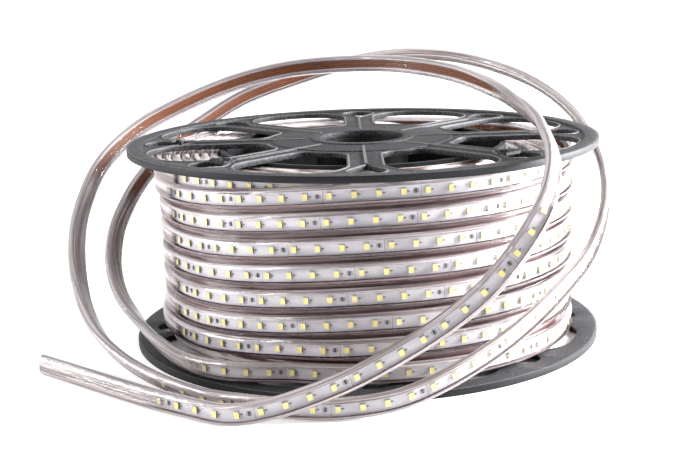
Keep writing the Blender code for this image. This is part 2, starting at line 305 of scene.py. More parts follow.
@dataclass(frozen=True)
class MouldedPlastic:
    """Charcoal moulded plastic with a coarse grain, cloudy sheen, pale scuffs and a painted highlight
    along the rim's edge.
    """

    name: str
    dark: Colour
    pale: Colour
    roughness: float
    rim: float

    def material(self) -> bpy.types.Material:
        """Makes the material.

        Returns:
            The new material.
        """
        bench = ShaderBench(self.name, self.roughness, Specular_IOR_Level=0.16)
        place = bench.place()
        x, y, _ = bench.split(place)
        radius = bench.maths("SQRT", x * x + y * y)
        cloud = bench.noise(place, 26.0, 4.0)
        grain = bench.noise(place, 620.0, 3.0)
        scuff = bench.streaks(x * 60.0, y * 260.0, 0.0, 4.0).step(0.58, 0.78)
        # Painted highlight: a paler band just inside the rim's outer edge, where the rounded edge catches
        # the light; it adds to the paler scuffs and grain below.
        edge = radius.step(self.rim - 1.9 * MM, self.rim - 1.2 * MM)
        edge = edge * radius.step(self.rim - 0.25 * MM, self.rim - 0.55 * MM)
        wall = radius.step(self.rim - 0.3 * MM, self.rim - 0.1 * MM)
        wear_and_rim_highlight = (edge * 0.7 + scuff * 0.25 + (grain - 0.40) * 1.9).clamped()
        tone = bench.blend(cloud.step(0.35, 0.7), self.dark, tuple(1.4 * c for c in self.dark))
        colour = bench.blend(wear_and_rim_highlight * (1.0 - wall * 0.96), tone, self.pale)
        bench.bump(grain, 0.35 * MM, 0.6)
        return bench.finish(Base_Color=colour, Roughness=cloud * 0.25 + self.roughness - 0.1)


class HazeAndShade(NamedTuple):
    """A stretch of sheath, by printed marks: how far it is cloudy and hides the strip, and how far
    painted shade darkens its tone.
    """

    start: float
    end: float
    hides: float
    painted_shade: float


@dataclass(frozen=True)
class SheathFinish:
    """Clear flexible sheath: nearly clear over the strip, streaked and cloudy beside it, with painted
    light on its upper half and painted shade on its lower half and rounded sides.
    """

    name: str
    lower_shade: Colour
    lower_light: Colour
    upper_shade: Colour
    upper_light: Colour
    lower_alpha: float
    upper_alpha: float
    window: float = 4.45 * MM
    cloudy: float = 4.95 * MM
    edge_start: float = 5.8 * MM
    edge_end: float = 7.6 * MM
    edge_shade_tone: Colour = (0.16, 0.13, 0.13)
    edge_shade_share: float = 0.5
    seams: tuple[float, ...] = (4.95 * MM, 6.35 * MM)
    seam_width: float = 0.34 * MM
    seam_share: float = 0.75
    face_alpha: float = 0.08
    back_alpha: float = 0.05
    haze_and_shade: tuple[HazeAndShade, ...] = ()
    haze_fade: float = 0.035
    hidden_side: float = 0.0
    top_row: float = 136.5 * MM
    veil_strength: float = 0.88
    side_veil: float = 1.3

    def material(self) -> bpy.types.Material:
        """Makes the material.

        Returns:
            The new material.
        """
        bench = ShaderBench(
            self.name, 0.08, Coat_Weight=1.0, Coat_Roughness=0.03, IOR=1.6, Specular_IOR_Level=0.8
        )
        along, across, outward = bench.stored(Sweep.ATTRIBUTE)
        off = across.size()
        beside = off.step(self.window, self.cloudy)
        # Painted light and shade: the upper half of each rope gets the paler upper tones, lit from above,
        # and the lower half the darker brown lower tones.
        upper = across.step(-0.4 * MM, 0.4 * MM)
        streak = bench.streaks(along * 9.0, across * 560.0, outward * 480.0, 4.0)
        ripple = bench.streaks(along * 110.0, across * 330.0, outward * 160.0, 3.0)
        crinkle = bench.streaks(along * 420.0, across * 950.0, outward * 300.0, 2.0)
        cloud = bench.streaks(along * 16.0, across * 40.0, 0.0, 3.0)
        lines = streak.step(0.36, 0.64)
        shaded_lower_tone = bench.blend(lines, self.lower_shade, self.lower_light)
        lit_upper_tone = bench.blend(lines, self.upper_shade, self.upper_light)
        tone = bench.blend(upper, shaded_lower_tone, lit_upper_tone)
        # Painted shade: darker tone towards the rounded sides, standing in for refraction at the sheath's
        # edges.
        edge = off.step(self.edge_start, self.edge_end) * (1.2 - lines) * self.edge_shade_share
        tone = bench.blend(edge.clamped(), tone, self.edge_shade_tone)
        seam = self._seams(off) * (cloud * 1.6 - 0.2).clamped()
        tone = bench.blend(seam * self.seam_share, tone, self.lower_shade)
        front = outward.step(-0.5 * MM, 0.5 * MM)
        middle = front * (self.face_alpha - self.back_alpha) + self.back_alpha
        side = upper * (self.upper_alpha - self.lower_alpha) + self.lower_alpha
        margin = side + (streak - 0.5) * 0.7 + (cloud - 0.5) * 0.3 + edge * 0.4 + seam * 0.3
        alpha = middle + (margin - middle) * beside
        veils = self._veils(bench, along)
        for veil, shade in veils:
            hidden = veil * (self.veil_strength + (streak - 0.5) * 0.7)
            alpha = alpha + (1.0 - alpha) * hidden.clamped()
            # Painted shade: each stretch darkens the tone towards the dark lower colour.
            tone = bench.blend(shade, tone, self.lower_shade)
        dulled = bench.clamp(sum(veil for veil, _ in veils))
        bench.bump(streak * 0.8 + ripple * 1.5 + crinkle * 0.6, 0.8 * MM, 0.8)
        return bench.finish(
            Base_Color=tone, Alpha=alpha.clamped(), Coat_Weight=1.0 - dulled * 0.75,
            Roughness=dulled * 0.2 + 0.08,
        )

    def _seams(self, off: Signal) -> Signal:
        """Thin dark lines along the rope, at their distances from its middle."""
        width = self.seam_width
        return sum((off - seam).size().step(width, 0.3 * width) for seam in self.seams)

    def _veils(self, bench: ShaderBench, along: Signal) -> list[tuple[Signal, Signal | float]]:
        """Where the sheath hides the strip or is painted darker: cloudy and shaded stretches, and the
        left side of the turns.

        Args:
            bench: The sheath's tree.
            along: Printed mark along the rope.

        Returns:
            How far each one hides the strip, and how far its painted shade darkens the sheath.
        """
        veils = []
        for haze in self.haze_and_shade:
            stretch = along.step(haze.start, haze.start + self.haze_fade)
            stretch = stretch * along.step(haze.end, haze.end - self.haze_fade)
            veils.append((stretch * haze.hides, stretch * haze.painted_shade))
        if self.hidden_side:
            x, _, z = bench.split(bench.place())
            left = x.step(-0.87 * self.hidden_side, -0.925 * self.hidden_side)
            further = x.step(-0.85 * self.hidden_side, -0.875 * self.hidden_side)
            left = left + further * z.step(self.top_row, self.top_row + 1.0 * MM)
            veils.append((left * self.side_veil, 0.0))
        return veils


@dataclass(frozen=True)
class CircuitFinish:
    """White solder mask with a faint lavender cast, pads, thin cut lines and rows of dots."""

    pitch: float
    group: int

    def material(self) -> bpy.types.Material:
        """Makes the material.

        Returns:
            The new material.
        """
        bench = ShaderBench("circuit_white", 0.38)
        along, across, _ = bench.stored(Sweep.ATTRIBUTE)
        gap = (0.0 - along / self.pitch).cycle()
        off = across.size()
        pad = gap.step(0.13, 0.15) * gap.step(0.27, 0.24) * off.step(0.55 * MM, 0.35 * MM)
        solder = gap.step(0.145, 0.155) * gap.step(0.20, 0.19) * off.step(0.95 * MM, 0.75 * MM)
        groups = (0.0 - along / (self.pitch * self.group)).cycle()
        cut = groups.step(0.925, 0.928) * groups.step(0.936, 0.933)
        dots = (along / (0.55 * MM)).cycle().step(0.3, 0.4) * off.step(1.5 * MM, 1.2 * MM)
        marks = groups.step(0.840, 0.846) * groups.step(0.912, 0.906) * dots
        track = (across / (0.9 * MM)).cycle().step(0.44, 0.5) * 0.06
        tint = bench.streaks(along * 22.0, across * 90.0, 0.0, 2.0)
        white = bench.ramp(tint, (0.3, (0.42, 0.40, 0.45)), (0.62, (0.60, 0.585, 0.625)))
        ink = (pad * 0.85 + solder * 0.5 + cut * 0.55 + marks * 0.7 + track).clamped()
        return bench.finish(Base_Color=bench.blend(ink, white, (0.07, 0.065, 0.075)))


@dataclass(frozen=True)
class CopperBack:
    """Copper brown back of the circuit strip with fine lengthwise conductor lines."""

    tone: Colour = (0.130, 0.038, 0.011)
    fleck_tone: Colour = (0.215, 0.067, 0.020)
    line: Colour = (0.040, 0.014, 0.010)

    def material(self) -> bpy.types.Material:
        """Makes the material.

        Returns:
            The new material.
        """
        bench = ShaderBench("copper_back", 0.5, Specular_IOR_Level=0.2)
        along, across, _ = bench.stored(Sweep.ATTRIBUTE)
        lines = (across / (2.4 * MM)).cycle()
        dark = lines.step(0.26, 0.38) * lines.step(0.74, 0.62)
        fleck = bench.streaks(along * 600.0, across * 1400.0, 0.0, 2.0)
        warm = bench.blend(fleck.step(0.45, 0.65), self.tone, self.fleck_tone)
        return bench.finish(Base_Color=bench.blend(dark * 0.8, warm, self.line))


@dataclass(frozen=True)
class WoundShadeAndGlints:
    """Rope seen edge on in the winding: painted mauve brown shade with warm patches, and painted pale
    lengthwise glints.
    """

    name: str
    shade: Colour
    light: Colour
    warm: Colour

    def material(self) -> bpy.types.Material:
        """Makes the material.

        Returns:
            The new material.
        """
        bench = ShaderBench(self.name, 0.22, Coat_Weight=0.6, Coat_Roughness=0.08)
        x, y, z = bench.split(bench.place())
        around = bench.maths("ARCTAN2", y, x)
        radius = bench.maths("SQRT", x * x + y * y)
        lines = bench.streaks(around * 3.0, z * 520.0, radius * 430.0, 3.0)
        patch = bench.streaks(around * 5.0, z * 60.0, radius * 70.0, 2.0)
        # Painted shade: the dark tone, mixed with warm copper patches; the pale lengthwise lines over it
        # are painted glints.
        dark = bench.blend(patch.step(0.44, 0.56), self.warm, self.shade)
        tone = bench.blend((lines + patch * 0.5).step(0.58, 0.82), dark, self.light)
        bench.bump(lines, 0.3 * MM, 0.5)
        return bench.finish(Base_Color=tone)


@dataclass(frozen=True)
class PlainFinish:
    """A small part's finish: one tone with a fine mottle."""

    name: str
    tone: Colour
    other: Colour
    roughness: float
    scale: float = 900.0

    def material(self) -> bpy.types.Material:
        """Makes the material.

        Returns:
            The new material.
        """
        bench = ShaderBench(self.name, self.roughness, Specular_IOR_Level=0.2)
        mottle = bench.noise(bench.place(), self.scale, 2.0)
        bench.bump(mottle, 0.05 * MM, 0.3)
        return bench.finish(Base_Color=bench.blend(mottle.step(0.35, 0.65), self.tone, self.other))


@dataclass(frozen=True)
class LightPartFinish:
    """A soldered LED: cream housing, yellow phosphor face and a painted amber shade on one side wall."""

    half_along: float
    half_across: float
    height: float

    def material(self) -> bpy.types.Material:
        """Makes the material.

        Returns:
            The new material.
        """
        bench = ShaderBench("led_phosphor", 0.32, Coat_Weight=0.3)
        along, across, up = bench.stored(CopiedPart.ATTRIBUTE)
        inside_along = along.size().step(0.86 * self.half_along, 0.74 * self.half_along)
        inside_across = across.size().step(0.86 * self.half_across, 0.76 * self.half_across)
        face = inside_along * inside_across
        # Painted shade: the side wall on one side of each LED is painted dark amber.
        wall = up.step(self.height - 0.1 * MM, self.height - 0.5 * MM)
        wall = wall * along.step(-0.55 * self.half_along, -0.9 * self.half_along)
        mottle = bench.noise(bench.place(), 1400.0, 2.0)
        phosphor = bench.blend(mottle.step(0.3, 0.7), (0.74, 0.62, 0.17), (0.86, 0.76, 0.32))
        body = bench.blend(wall * 0.92, (0.74, 0.66, 0.36), (0.10, 0.062, 0.030))
        return bench.finish(Base_Color=bench.blend(face, body, phosphor))


def deselect() -> None:
    """Leaves nothing selected."""
    bpy.ops.object.select_all(action="DESELECT")


def only(item: bpy.types.Object) -> None:
    """Selects one object and makes it active.

    Args:
        item: The object.
    """
    deselect()
    item.select_set(True)
    bpy.context.view_layer.objects.active = item


def apply_modifiers(item: bpy.types.Object) -> None:
    """Applies an object's modifiers in order.

    Args:
        item: The object.
    """
    only(item)
    for modifier in list(item.modifiers):
        bpy.ops.object.modifier_apply(modifier=modifier.name)


def settle(item: bpy.types.Object) -> None:
    """Puts an object's place, turn and size into its mesh."""
    only(item)
    bpy.ops.object.transform_apply(location=True, rotation=True, scale=True)


def face_outward(item: bpy.types.Object) -> None:
    """Merges doubles and turns all faces outward.

    Args:
        item: The object.
    """
    only(item)
    bpy.ops.object.mode_set(mode="EDIT")
    bpy.ops.mesh.select_all(action="SELECT")
    bpy.ops.mesh.remove_doubles(threshold=0.000002)
    bpy.ops.mesh.normals_make_consistent(inside=False)
    bpy.ops.object.mode_set(mode="OBJECT")


def smooth(item: bpy.types.Object, angle: float = 35.0) -> None:
    """Shades an object smooth below an angle in degrees."""
    only(item)
    bpy.ops.object.shade_smooth_by_angle(angle=math.radians(angle))


@contextmanager
def picked_faces(
    item: bpy.types.Object, test: Callable[[bpy.types.MeshPolygon], bool]
) -> Iterator[None]:
    """Edit mode with just the faces selected that pass a test, and object mode after it.

    Args:
        item: The object.
        test: Says of a face whether it is selected.

    Returns:
        A context that goes back to object mode at its end.
    """
    only(item)
    bpy.ops.object.mode_set(mode="EDIT")
    bpy.ops.mesh.select_mode(type="FACE")
    bpy.ops.mesh.select_all(action="DESELECT")
    bpy.ops.object.mode_set(mode="OBJECT")
    for polygon in item.data.polygons:
        polygon.select = test(polygon)
    bpy.ops.object.mode_set(mode="EDIT")
    yield
    bpy.ops.object.mode_set(mode="OBJECT")


def add_box(size: tuple[float, float, float], middle: tuple[float, float, float]) -> bpy.types.Object:
    """Adds a box.

    Args:
        size: Its three sides.
        middle: Where its middle lies.

    Returns:
        The box, with its size and place in its mesh.
    """
    deselect()
    bpy.ops.mesh.primitive_cube_add(size=1.0, location=middle)
    made = bpy.context.object
    made.scale = size
    settle(made)
    return made


def link_mesh(name: str, shape: bmesh.types.BMesh) -> bpy.types.Object:
    """Turns a bmesh into a linked object at the origin.

    Args:
        name: The object's name.
        shape: The bmesh, which is freed.

    Returns:
        The object.
    """
    bmesh.ops.recalc_face_normals(shape, faces=shape.faces)
    mesh = bpy.data.meshes.new(name)
    shape.to_mesh(mesh)
    shape.free()
    item = bpy.data.objects.new(name, mesh)
    bpy.context.scene.collection.objects.link(item)
    return item


def dress(item: bpy.types.Object, material: bpy.types.Material, slot: Slot, *nodes: str) -> None:
    """Gives a piece its finish and its place in the object.

    Args:
        item: The piece.
        material: Its material.
        slot: The record's slot that the finish belongs to; not used.
        nodes: The CAD nodes that it stands for.
    """
    item.data.materials.clear()
    item.data.materials.append(material)
    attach(item, BODY)
    if nodes:
        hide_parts(*nodes)
    LOG.info("%s: %d faces", item.name, len(item.data.polygons))


def around_axis(radius: float, degrees: float, height: float) -> Vector:
    """A point at an angle from the reel's front, counted towards its right."""
    turned = math.radians(degrees)
    return Vector((radius * math.sin(turned), -radius * math.cos(turned), height))


def ease(value: float, start: float, end: float) -> float:
    """A smooth step from 0 at start to 1 at end."""
    share = min(1.0, max(0.0, (value - start) / (end - start)))
    return share * share * (3.0 - 2.0 * share)


def read_table(table: Table, key: float) -> float:
    """Reads a table of rising keys, eased between its rows and level beyond them.

    Args:
        table: Pairs of key and value. An empty one reads as 0.
        key: Where to read it.

    Returns:
        The value there.
    """
    if not table:
        return 0.0
    for (low, below), (high, above) in zip(table, table[1:]):
        if key < high:
            return below + (above - below) * ease(key, low, high)
    return table[-1][1]


@dataclass(frozen=True)
class Station:
    """A place on a rope with the three directions there, and its mark on the printed strip."""

    mark: float
    point: Vector
    along: Vector
    across: Vector
    outward: Vector

    def at(self, along: float, across: float, outward: float) -> Vector:
        """A point given in the station's own directions."""
        return self.point + self.along * along + self.across * across + self.outward * outward


class RopePath:
    """A line that a rope follows, worn on edge, measured along its length."""

    def __init__(
        self, points: Sequence[Vector], start: float = 0.0, slips: Sequence[float] = (0.0,),
        rolls: Table = (),
    ) -> None:
        """Measures the line.

        Args:
            points: Points close together.
            start: The distance at the first point.
            slips: How far the printed marks run ahead of the distance, at each point or all over.
            rolls: Degrees that the rope is rolled about its line, by distance from the start.
        """
        self.points = list(points)
        self.rolls = rolls
        self.reach = [start]
        for before, after in zip(self.points, self.points[1:]):
            self.reach.append(self.reach[-1] + (after - before).length)
        ahead = list(slips) if len(slips) > 1 else list(slips) * len(self.points)
        self.marks = [distance + slip for distance, slip in zip(self.reach, ahead)]
        ends = [self.points[0], *self.points, self.points[-1]]
        self.tangents = [(after - before).normalized() for before, after in zip(ends, ends[2:])]

    @property
    def start(self) -> float:
        """Distance at the first point."""
        return self.reach[0]

    @property
    def end(self) -> float:
        """Distance at the last point."""
        return self.reach[-1]

    def station(self, distance: float) -> Station:
        """The station at a distance.

        Args:
            distance: Length along the rope.

        Returns:
            The station.
        """
        place = min(max(bisect_right(self.reach, distance) - 1, 0), len(self.points) - 2)
        share = (distance - self.reach[place]) / (self.reach[place + 1] - self.reach[place])
        point = self.points[place].lerp(self.points[place + 1], share)
        mark = self.marks[place] + (self.marks[place + 1] - self.marks[place]) * share
        along = self.tangents[place].lerp(self.tangents[place + 1], share).normalized()
        up = Vector((0.0, 0.0, 1.0))
        level = (up - along * up.dot(along)).normalized()
        roll = math.radians(read_table(self.rolls, distance - self.start))
        across = level * math.cos(roll) + level.cross(along) * math.sin(roll)
        return Station(mark, point, along, across, across.cross(along))

    def at_mark(self, mark: float) -> Station:
        """The station of a printed mark.

        Args:
            mark: The mark.

        Returns:
            The station.
        """
        place = min(max(bisect_right(self.marks, mark) - 1, 0), len(self.points) - 2)
        share = (mark - self.marks[place]) / (self.marks[place + 1] - self.marks[place])
        return self.station(self.reach[place] + (self.reach[place + 1] - self.reach[place]) * share)

    def distances(self, spacing: float, gap: float = 0.0) -> list[float]:
        """Even distances along the line.

        Args:
            spacing: About how far apart they are.
            gap: Length left out at both ends.

        Returns:
            The distances, from the first to the last.
        """
        first, last = self.start + gap, self.end - gap
        count = max(1, round((last - first) / spacing))
        return [first + (last - first) * number / count for number in range(count + 1)]


@dataclass(frozen=True)
class Section:
    """A closed cross-section, as across and outward pairs."""

    corners: tuple[tuple[float, float], ...]

    @classmethod
    def rounded(cls, width: float, thickness: float, steps: int = 7) -> "Section":
        """A flat bar with half-round sides.

        Args:
            width: Size across.
            thickness: Size outward.
            steps: Faces on each half-round side.

        Returns:
            The section.
        """
        radius = thickness / 2
        corners = []
        for side in (1, -1):
            for step in range(steps + 1):
                angle = math.radians(-90 + 180 * step / steps) + (0 if side == 1 else math.pi)
                across = side * (width / 2 - radius) + radius * math.cos(angle)
                corners.append((across, radius * math.sin(angle)))
        return cls(tuple(corners))

    @classmethod
    def bar(cls, width: float, low: float, high: float) -> "Section":
        """A flat rectangular bar between two outward levels."""
        half = width / 2
        return cls(((-half, low), (half, low), (half, high), (-half, high)))


class Sweep:
    """A section carried along a rope's path."""

    ATTRIBUTE = "rope_lay"

    @staticmethod
    def make(
        name: str, path: RopePath, section: Section, distances: Sequence[float], closed: bool = False
    ) -> bpy.types.Object:
        """Makes the swept mesh, with each point's own place stored for the finishes.

        Args:
            name: The piece's name.
            path: The line that it follows.
            section: Its cross-section.
            distances: Where it gets a ring of points.
            closed: Whether the last ring meets the first.

        Returns:
            The piece.
        """
        shape = bmesh.new()
        lay = shape.verts.layers.float_vector.new(Sweep.ATTRIBUTE)
        rings = []
        for distance in distances[:-1] if closed else distances:
            station = path.station(distance)
            ring = []
            for across, outward in section.corners:
                vert = shape.verts.new(station.at(0.0, across, outward))
                vert[lay] = (station.mark, across, outward)
                ring.append(vert)
            rings.append(ring)
        pairs = list(zip(rings, rings[1:]))
        if closed:
            pairs.append((rings[-1], rings[0]))
        for before, after in pairs:
            count = len(before)
            for number in range(count):
                other = (number + 1) % count
                shape.faces.new((before[number], before[other], after[other], after[number]))
        if not closed:
            shape.faces.new(rings[0])
            shape.faces.new(rings[-1])
        item = link_mesh(name, shape)
        smooth(item, 50)
        return item


class CopiedPart:
    """A small part modelled once and set at many stations, each copy with its own mesh points."""

    ATTRIBUTE = "part_lay"

    @staticmethod
    def make(
        name: str, model: bpy.types.Object, stations: Iterable[Station], outward: float
    ) -> bpy.types.Object:
        """Sets copies of a model at stations and removes the model.

        Args:
            name: The new piece's name.
            model: The model, along X, across Y, outward Z.
            stations: Where the copies go.
            outward: How far out each copy's base lies.

        Returns:
            The piece.
        """
        shape = bmesh.new()
        lay = shape.verts.layers.float_vector.new(CopiedPart.ATTRIBUTE)
        corners = [vertex.co.copy() for vertex in model.data.vertices]
        # Extruding leaves faces in an order that changes from run to run, so they are sorted.
        faces = sorted(tuple(polygon.vertices) for polygon in model.data.polygons)
        for station in stations:
            verts = []
            for corner in corners:
                vert = shape.verts.new(station.at(corner.x, corner.y, corner.z + outward))
                vert[lay] = corner
                verts.append(vert)
            for face in faces:
                shape.faces.new([verts[number] for number in face])
        bpy.data.objects.remove(model, do_unlink=True)
        return link_mesh(name, shape)


class View(Enum):
    """How the picture is developed."""

    DISPLAY = "Standard"


@dataclass(frozen=True)
class Softbox:
    """A rectangular lamp: where it hangs, what it points at, its width and height, its watts."""

    name: str
    place: tuple[float, float, float]
    target: tuple[float, float, float]
    size: tuple[float, float]
    power: float

    def hang(self) -> None:
        """Adds the lamp."""
        data = bpy.data.lights.new(self.name, "AREA")
        data.shape = "RECTANGLE"
        data.size, data.size_y = self.size
        data.energy = self.power
        lamp = bpy.data.objects.new(self.name, data)
        bpy.context.scene.collection.objects.link(lamp)
        place = Vector(self.place)
        turn = (Vector(self.target) - place).to_track_quat("-Z", "Y").to_matrix().to_4x4()
        lamp.matrix_world = Matrix.Translation(place) @ turn


@dataclass
class Studio:
    """Camera, floor, world and lights."""

    location: tuple[float, float, float] = (-0.01909, -1.03221, 0.30441)
    pitch: float = 0.2123
    roll: float = -0.031
    lens: float = 68.19
    sensor: float = 36.0
    floor_size: float = 14.0
    room_light: float = 1.0
    front_light: float = 0.34
    front_reach: tuple[float, float] = (-0.75, -0.05)
    floor_glow: float = 0.45
    reel_edge: tuple[float, float] = (178.0 * MM, 185.0 * MM)
    lamps: tuple[Softbox, ...] = (
        Softbox("right_softbox", (1.42, 0.12, 0.50), (0.10, 0.0, 0.08), (0.9, 0.9), 190.0),
        Softbox("left_softbox", (-1.50, -0.15, 0.24), (-0.10, 0.0, 0.08), (0.7, 0.5), 18.0),
        Softbox("left_strip_softbox", (-1.15, -0.72, 0.80), (0.0, -0.1, 0.10), (0.16, 0.8), 8.0),
    )

    def build(self) -> None:
        """Sets up all that isn't part of the object."""
        self._camera()
        self._floor()
        self._world()
        for lamp in self.lamps:
            lamp.hang()
        bpy.context.scene.view_settings.view_transform = View.DISPLAY.value

    def _camera(self) -> None:
        """Stands the camera where the photograph was taken."""
        data = bpy.data.cameras.new("front_camera")
        data.lens = self.lens
        data.sensor_width = self.sensor
        camera = bpy.data.objects.new("front_camera", data)
        bpy.context.scene.collection.objects.link(camera)
        forward = Vector((0.0, math.cos(self.pitch), -math.sin(self.pitch)))
        up = Vector((0.0, math.sin(self.pitch), math.cos(self.pitch)))
        side = Vector((1.0, 0.0, 0.0))
        level_side = side * math.cos(self.roll) + up * math.sin(self.roll)
        level_up = up * math.cos(self.roll) - side * math.sin(self.roll)
        turn = Matrix((level_side, level_up, -forward)).transposed()
        camera.matrix_world = Matrix.Translation(Vector(self.location)) @ turn.to_4x4()
        bpy.context.scene.camera = camera

    def _floor(self) -> None:
        """Lays a plain pale floor, which glows to white except right under the reel."""
        deselect()
        bpy.ops.mesh.primitive_plane_add(size=self.floor_size, location=(0.0, 1.0, 0.0))
        floor = bpy.context.object
        floor.name = "studio_floor"
        settle(floor)
        bench = ShaderBench("floor_paper", 0.9)
        place = bench.place()
        tone = bench.blend(bench.noise(place, 40.0, 2.0), (0.68, 0.68, 0.68), (0.72, 0.72, 0.72))
        x, y, _ = bench.split(place)
        beyond = (x * x + y * y).step(*(edge ** 2 for edge in self.reel_edge))
        glow = bench.blend(beyond, (0.0, 0.0, 0.0), (1.0, 1.0, 1.0))
        paper = bench.finish(Base_Color=tone, Emission_Color=glow, Emission_Strength=self.floor_glow)
        floor.data.materials.append(paper)

    def _world(self) -> None:
        """Fills the room with white light that is dimmer on the camera's side."""
        world = bpy.data.worlds.new("white_room")
        world.use_nodes = True
        bench = NodeBench(world.node_tree)
        sight = bench.node("ShaderNodeTexCoord", {}, {}).outputs["Generated"]
        _, depth, _ = bench.split(sight)
        rise = self.room_light - self.front_light
        background = bench.tree.nodes["Background"]
        bench.feed(background.inputs["Color"], (1.0, 1.0, 1.0))
        bench.feed(background.inputs["Strength"], depth.step(*self.front_reach) * rise + self.front_light)
        bpy.context.scene.world = world


@dataclass(frozen=True)
class RopeKind:
    """Sizes and finishes that the wound and the free rope share."""

    width: float = 15.5 * MM
    thickness: float = 7.5 * MM
    strip_width: float = 9.6 * MM
    back_width: float = 7.2 * MM
    strip_face: float = 0.20 * MM
    strip_back: float = -0.35 * MM
    led_pitch: float = 1.0 / 60.0
    led_along: float = 3.6 * MM
    led_across: float = 4.4 * MM
    led_height: float = 1.9 * MM
    resistor_group: int = 4
    resistor_along: float = 1.5 * MM
    resistor_across: float = 3.0 * MM
    resistor_height: float = 0.6 * MM
    end_rise: float = 0.08 * MM
    end_margin: float = 3.0 * MM

    def strip_section(self) -> Section:
        """The white face of the circuit strip."""
        return Section.bar(self.strip_width, 0.0, self.strip_face)

    def back_section(self) -> Section:
        """The copper back of the circuit strip."""
        return Section.bar(self.back_width, self.strip_back, -0.02 * MM)

    def led_model(self) -> bpy.types.Object:
        """One LED: a housing with a bevelled rim and a sunken phosphor face.

        Returns:
            The LED, standing on the strip's face.
        """
        sides = (self.led_along, self.led_across, self.led_height)
        led = add_box(sides, (0.0, 0.0, self.led_height / 2))
        with picked_faces(led, lambda polygon: polygon.center.z > 0.99 * self.led_height):
            bpy.ops.mesh.inset(thickness=0.08 * self.led_along)
            bpy.ops.mesh.inset(thickness=0.05 * self.led_along)
            bpy.ops.transform.translate(value=(0.0, 0.0, -0.12 * self.led_height))
        with picked_faces(led, lambda polygon: polygon.center.z < 0.01 * MM):
            bpy.ops.mesh.inset(thickness=0.1 * self.led_along)
        return led

    def resistor_model(self) -> bpy.types.Object:
        """One resistor: a dark block with two raised ends.

        Returns:
            The resistor, standing on the strip's face.
        """
        sides = (self.resistor_along, self.resistor_across, self.resistor_height)
        block = add_box(sides, (0.0, 0.0, self.resistor_height / 2))
        with picked_faces(block, lambda polygon: True):
            for side in (-1, 1):
                bpy.ops.mesh.select_all(action="SELECT")
                cut = (0.0, side * 0.33 * self.resistor_across, 0.0)
                bpy.ops.mesh.bisect(plane_co=cut, plane_no=(0.0, 1.0, 0.0))
        end = 0.34 * self.resistor_across
        top = 0.9 * self.resistor_height
        with picked_faces(block, lambda face: abs(face.center.y) > end and face.center.z > top):
            rise = (0.0, 0.0, self.end_rise)
            bpy.ops.mesh.extrude_region_move(TRANSFORM_OT_translate={"value": rise})
        return block

    def stations(self, path: RopePath, group: int, offset: float) -> list[Station]:
        """Stations at whole LED steps.

        Args:
            path: The rope's line.
            group: A station at every so many LEDs.
            offset: Shift in LED steps, along the path.

        Returns:
            The stations, clear of the stretch's ends.
        """
        step = self.led_pitch * group
        shift = self.led_pitch * offset
        first = math.ceil((path.marks[0] + self.end_margin - shift) / step)
        last = math.floor((path.marks[-1] - self.end_margin - shift) / step)
        return [path.at_mark(shift + number * step) for number in range(first, last + 1)]


@dataclass(frozen=True)
class RopeFinishes:
    """The materials of a rope's parts, made once."""

    strip: bpy.types.Material
    back: bpy.types.Material
    led: bpy.types.Material
    resistor: bpy.types.Material


class Rope:
    """A stretch of rope: sheath, circuit strip, copper back, LEDs and resistors."""

    def __init__(self, name: str, kind: RopeKind, path: RopePath, finishes: RopeFinishes) -> None:
        """Keeps what the stretch is made from.

        Args:
            name: What the stretch is called.
            kind: The rope's sizes.
            path: The line that it follows.
            finishes: The materials of its parts.
        """
        self.name = name
        self.kind = kind
        self.path = path
        self.finishes = finishes

    def build(
        self, sheath: bpy.types.Material, slot: Slot, node: str, spacing: float, gap: float
    ) -> list[bpy.types.Object]:
        """Makes and dresses the stretch.

        Args:
            sheath: The sheath's material.
            slot: The sheath's slot.
            node: The CAD node that the sheath stands for.
            spacing: Distance between the rings of points.
            gap: Length left bare of strip at both ends.

        Returns:
            The sheath, then the pieces inside it.
        """
        kind = self.kind
        inner = self.path.distances(spacing, gap)
        outer = Section.rounded(kind.width, kind.thickness)
        cover = Sweep.make(f"{self.name}_sheath", self.path, outer, self.path.distances(spacing))
        dress(cover, sheath, slot, node)
        pieces = [cover]
        for part, section, finish, own_slot in (
            ("strip", kind.strip_section(), self.finishes.strip, Slot.STRIP),
            ("strip_back", kind.back_section(), self.finishes.back, Slot.BACK),
        ):
            pieces.append(Sweep.make(f"{self.name}_{part}", self.path, section, inner))
            dress(pieces[-1], finish, own_slot)
        for part, model, group, offset, finish, own_slot in (
            ("leds", kind.led_model, 1, 0.0, self.finishes.led, Slot.LED),
            (
                "resistors", kind.resistor_model, kind.resistor_group, 0.5,
                self.finishes.resistor, Slot.CHIP,
            ),
        ):
            places = kind.stations(self.path, group, offset)
            name = f"{self.name}_{part}"
            pieces.append(CopiedPart.make(name, model(), places, kind.strip_face))
            dress(pieces[-1], finish, own_slot)
        return pieces


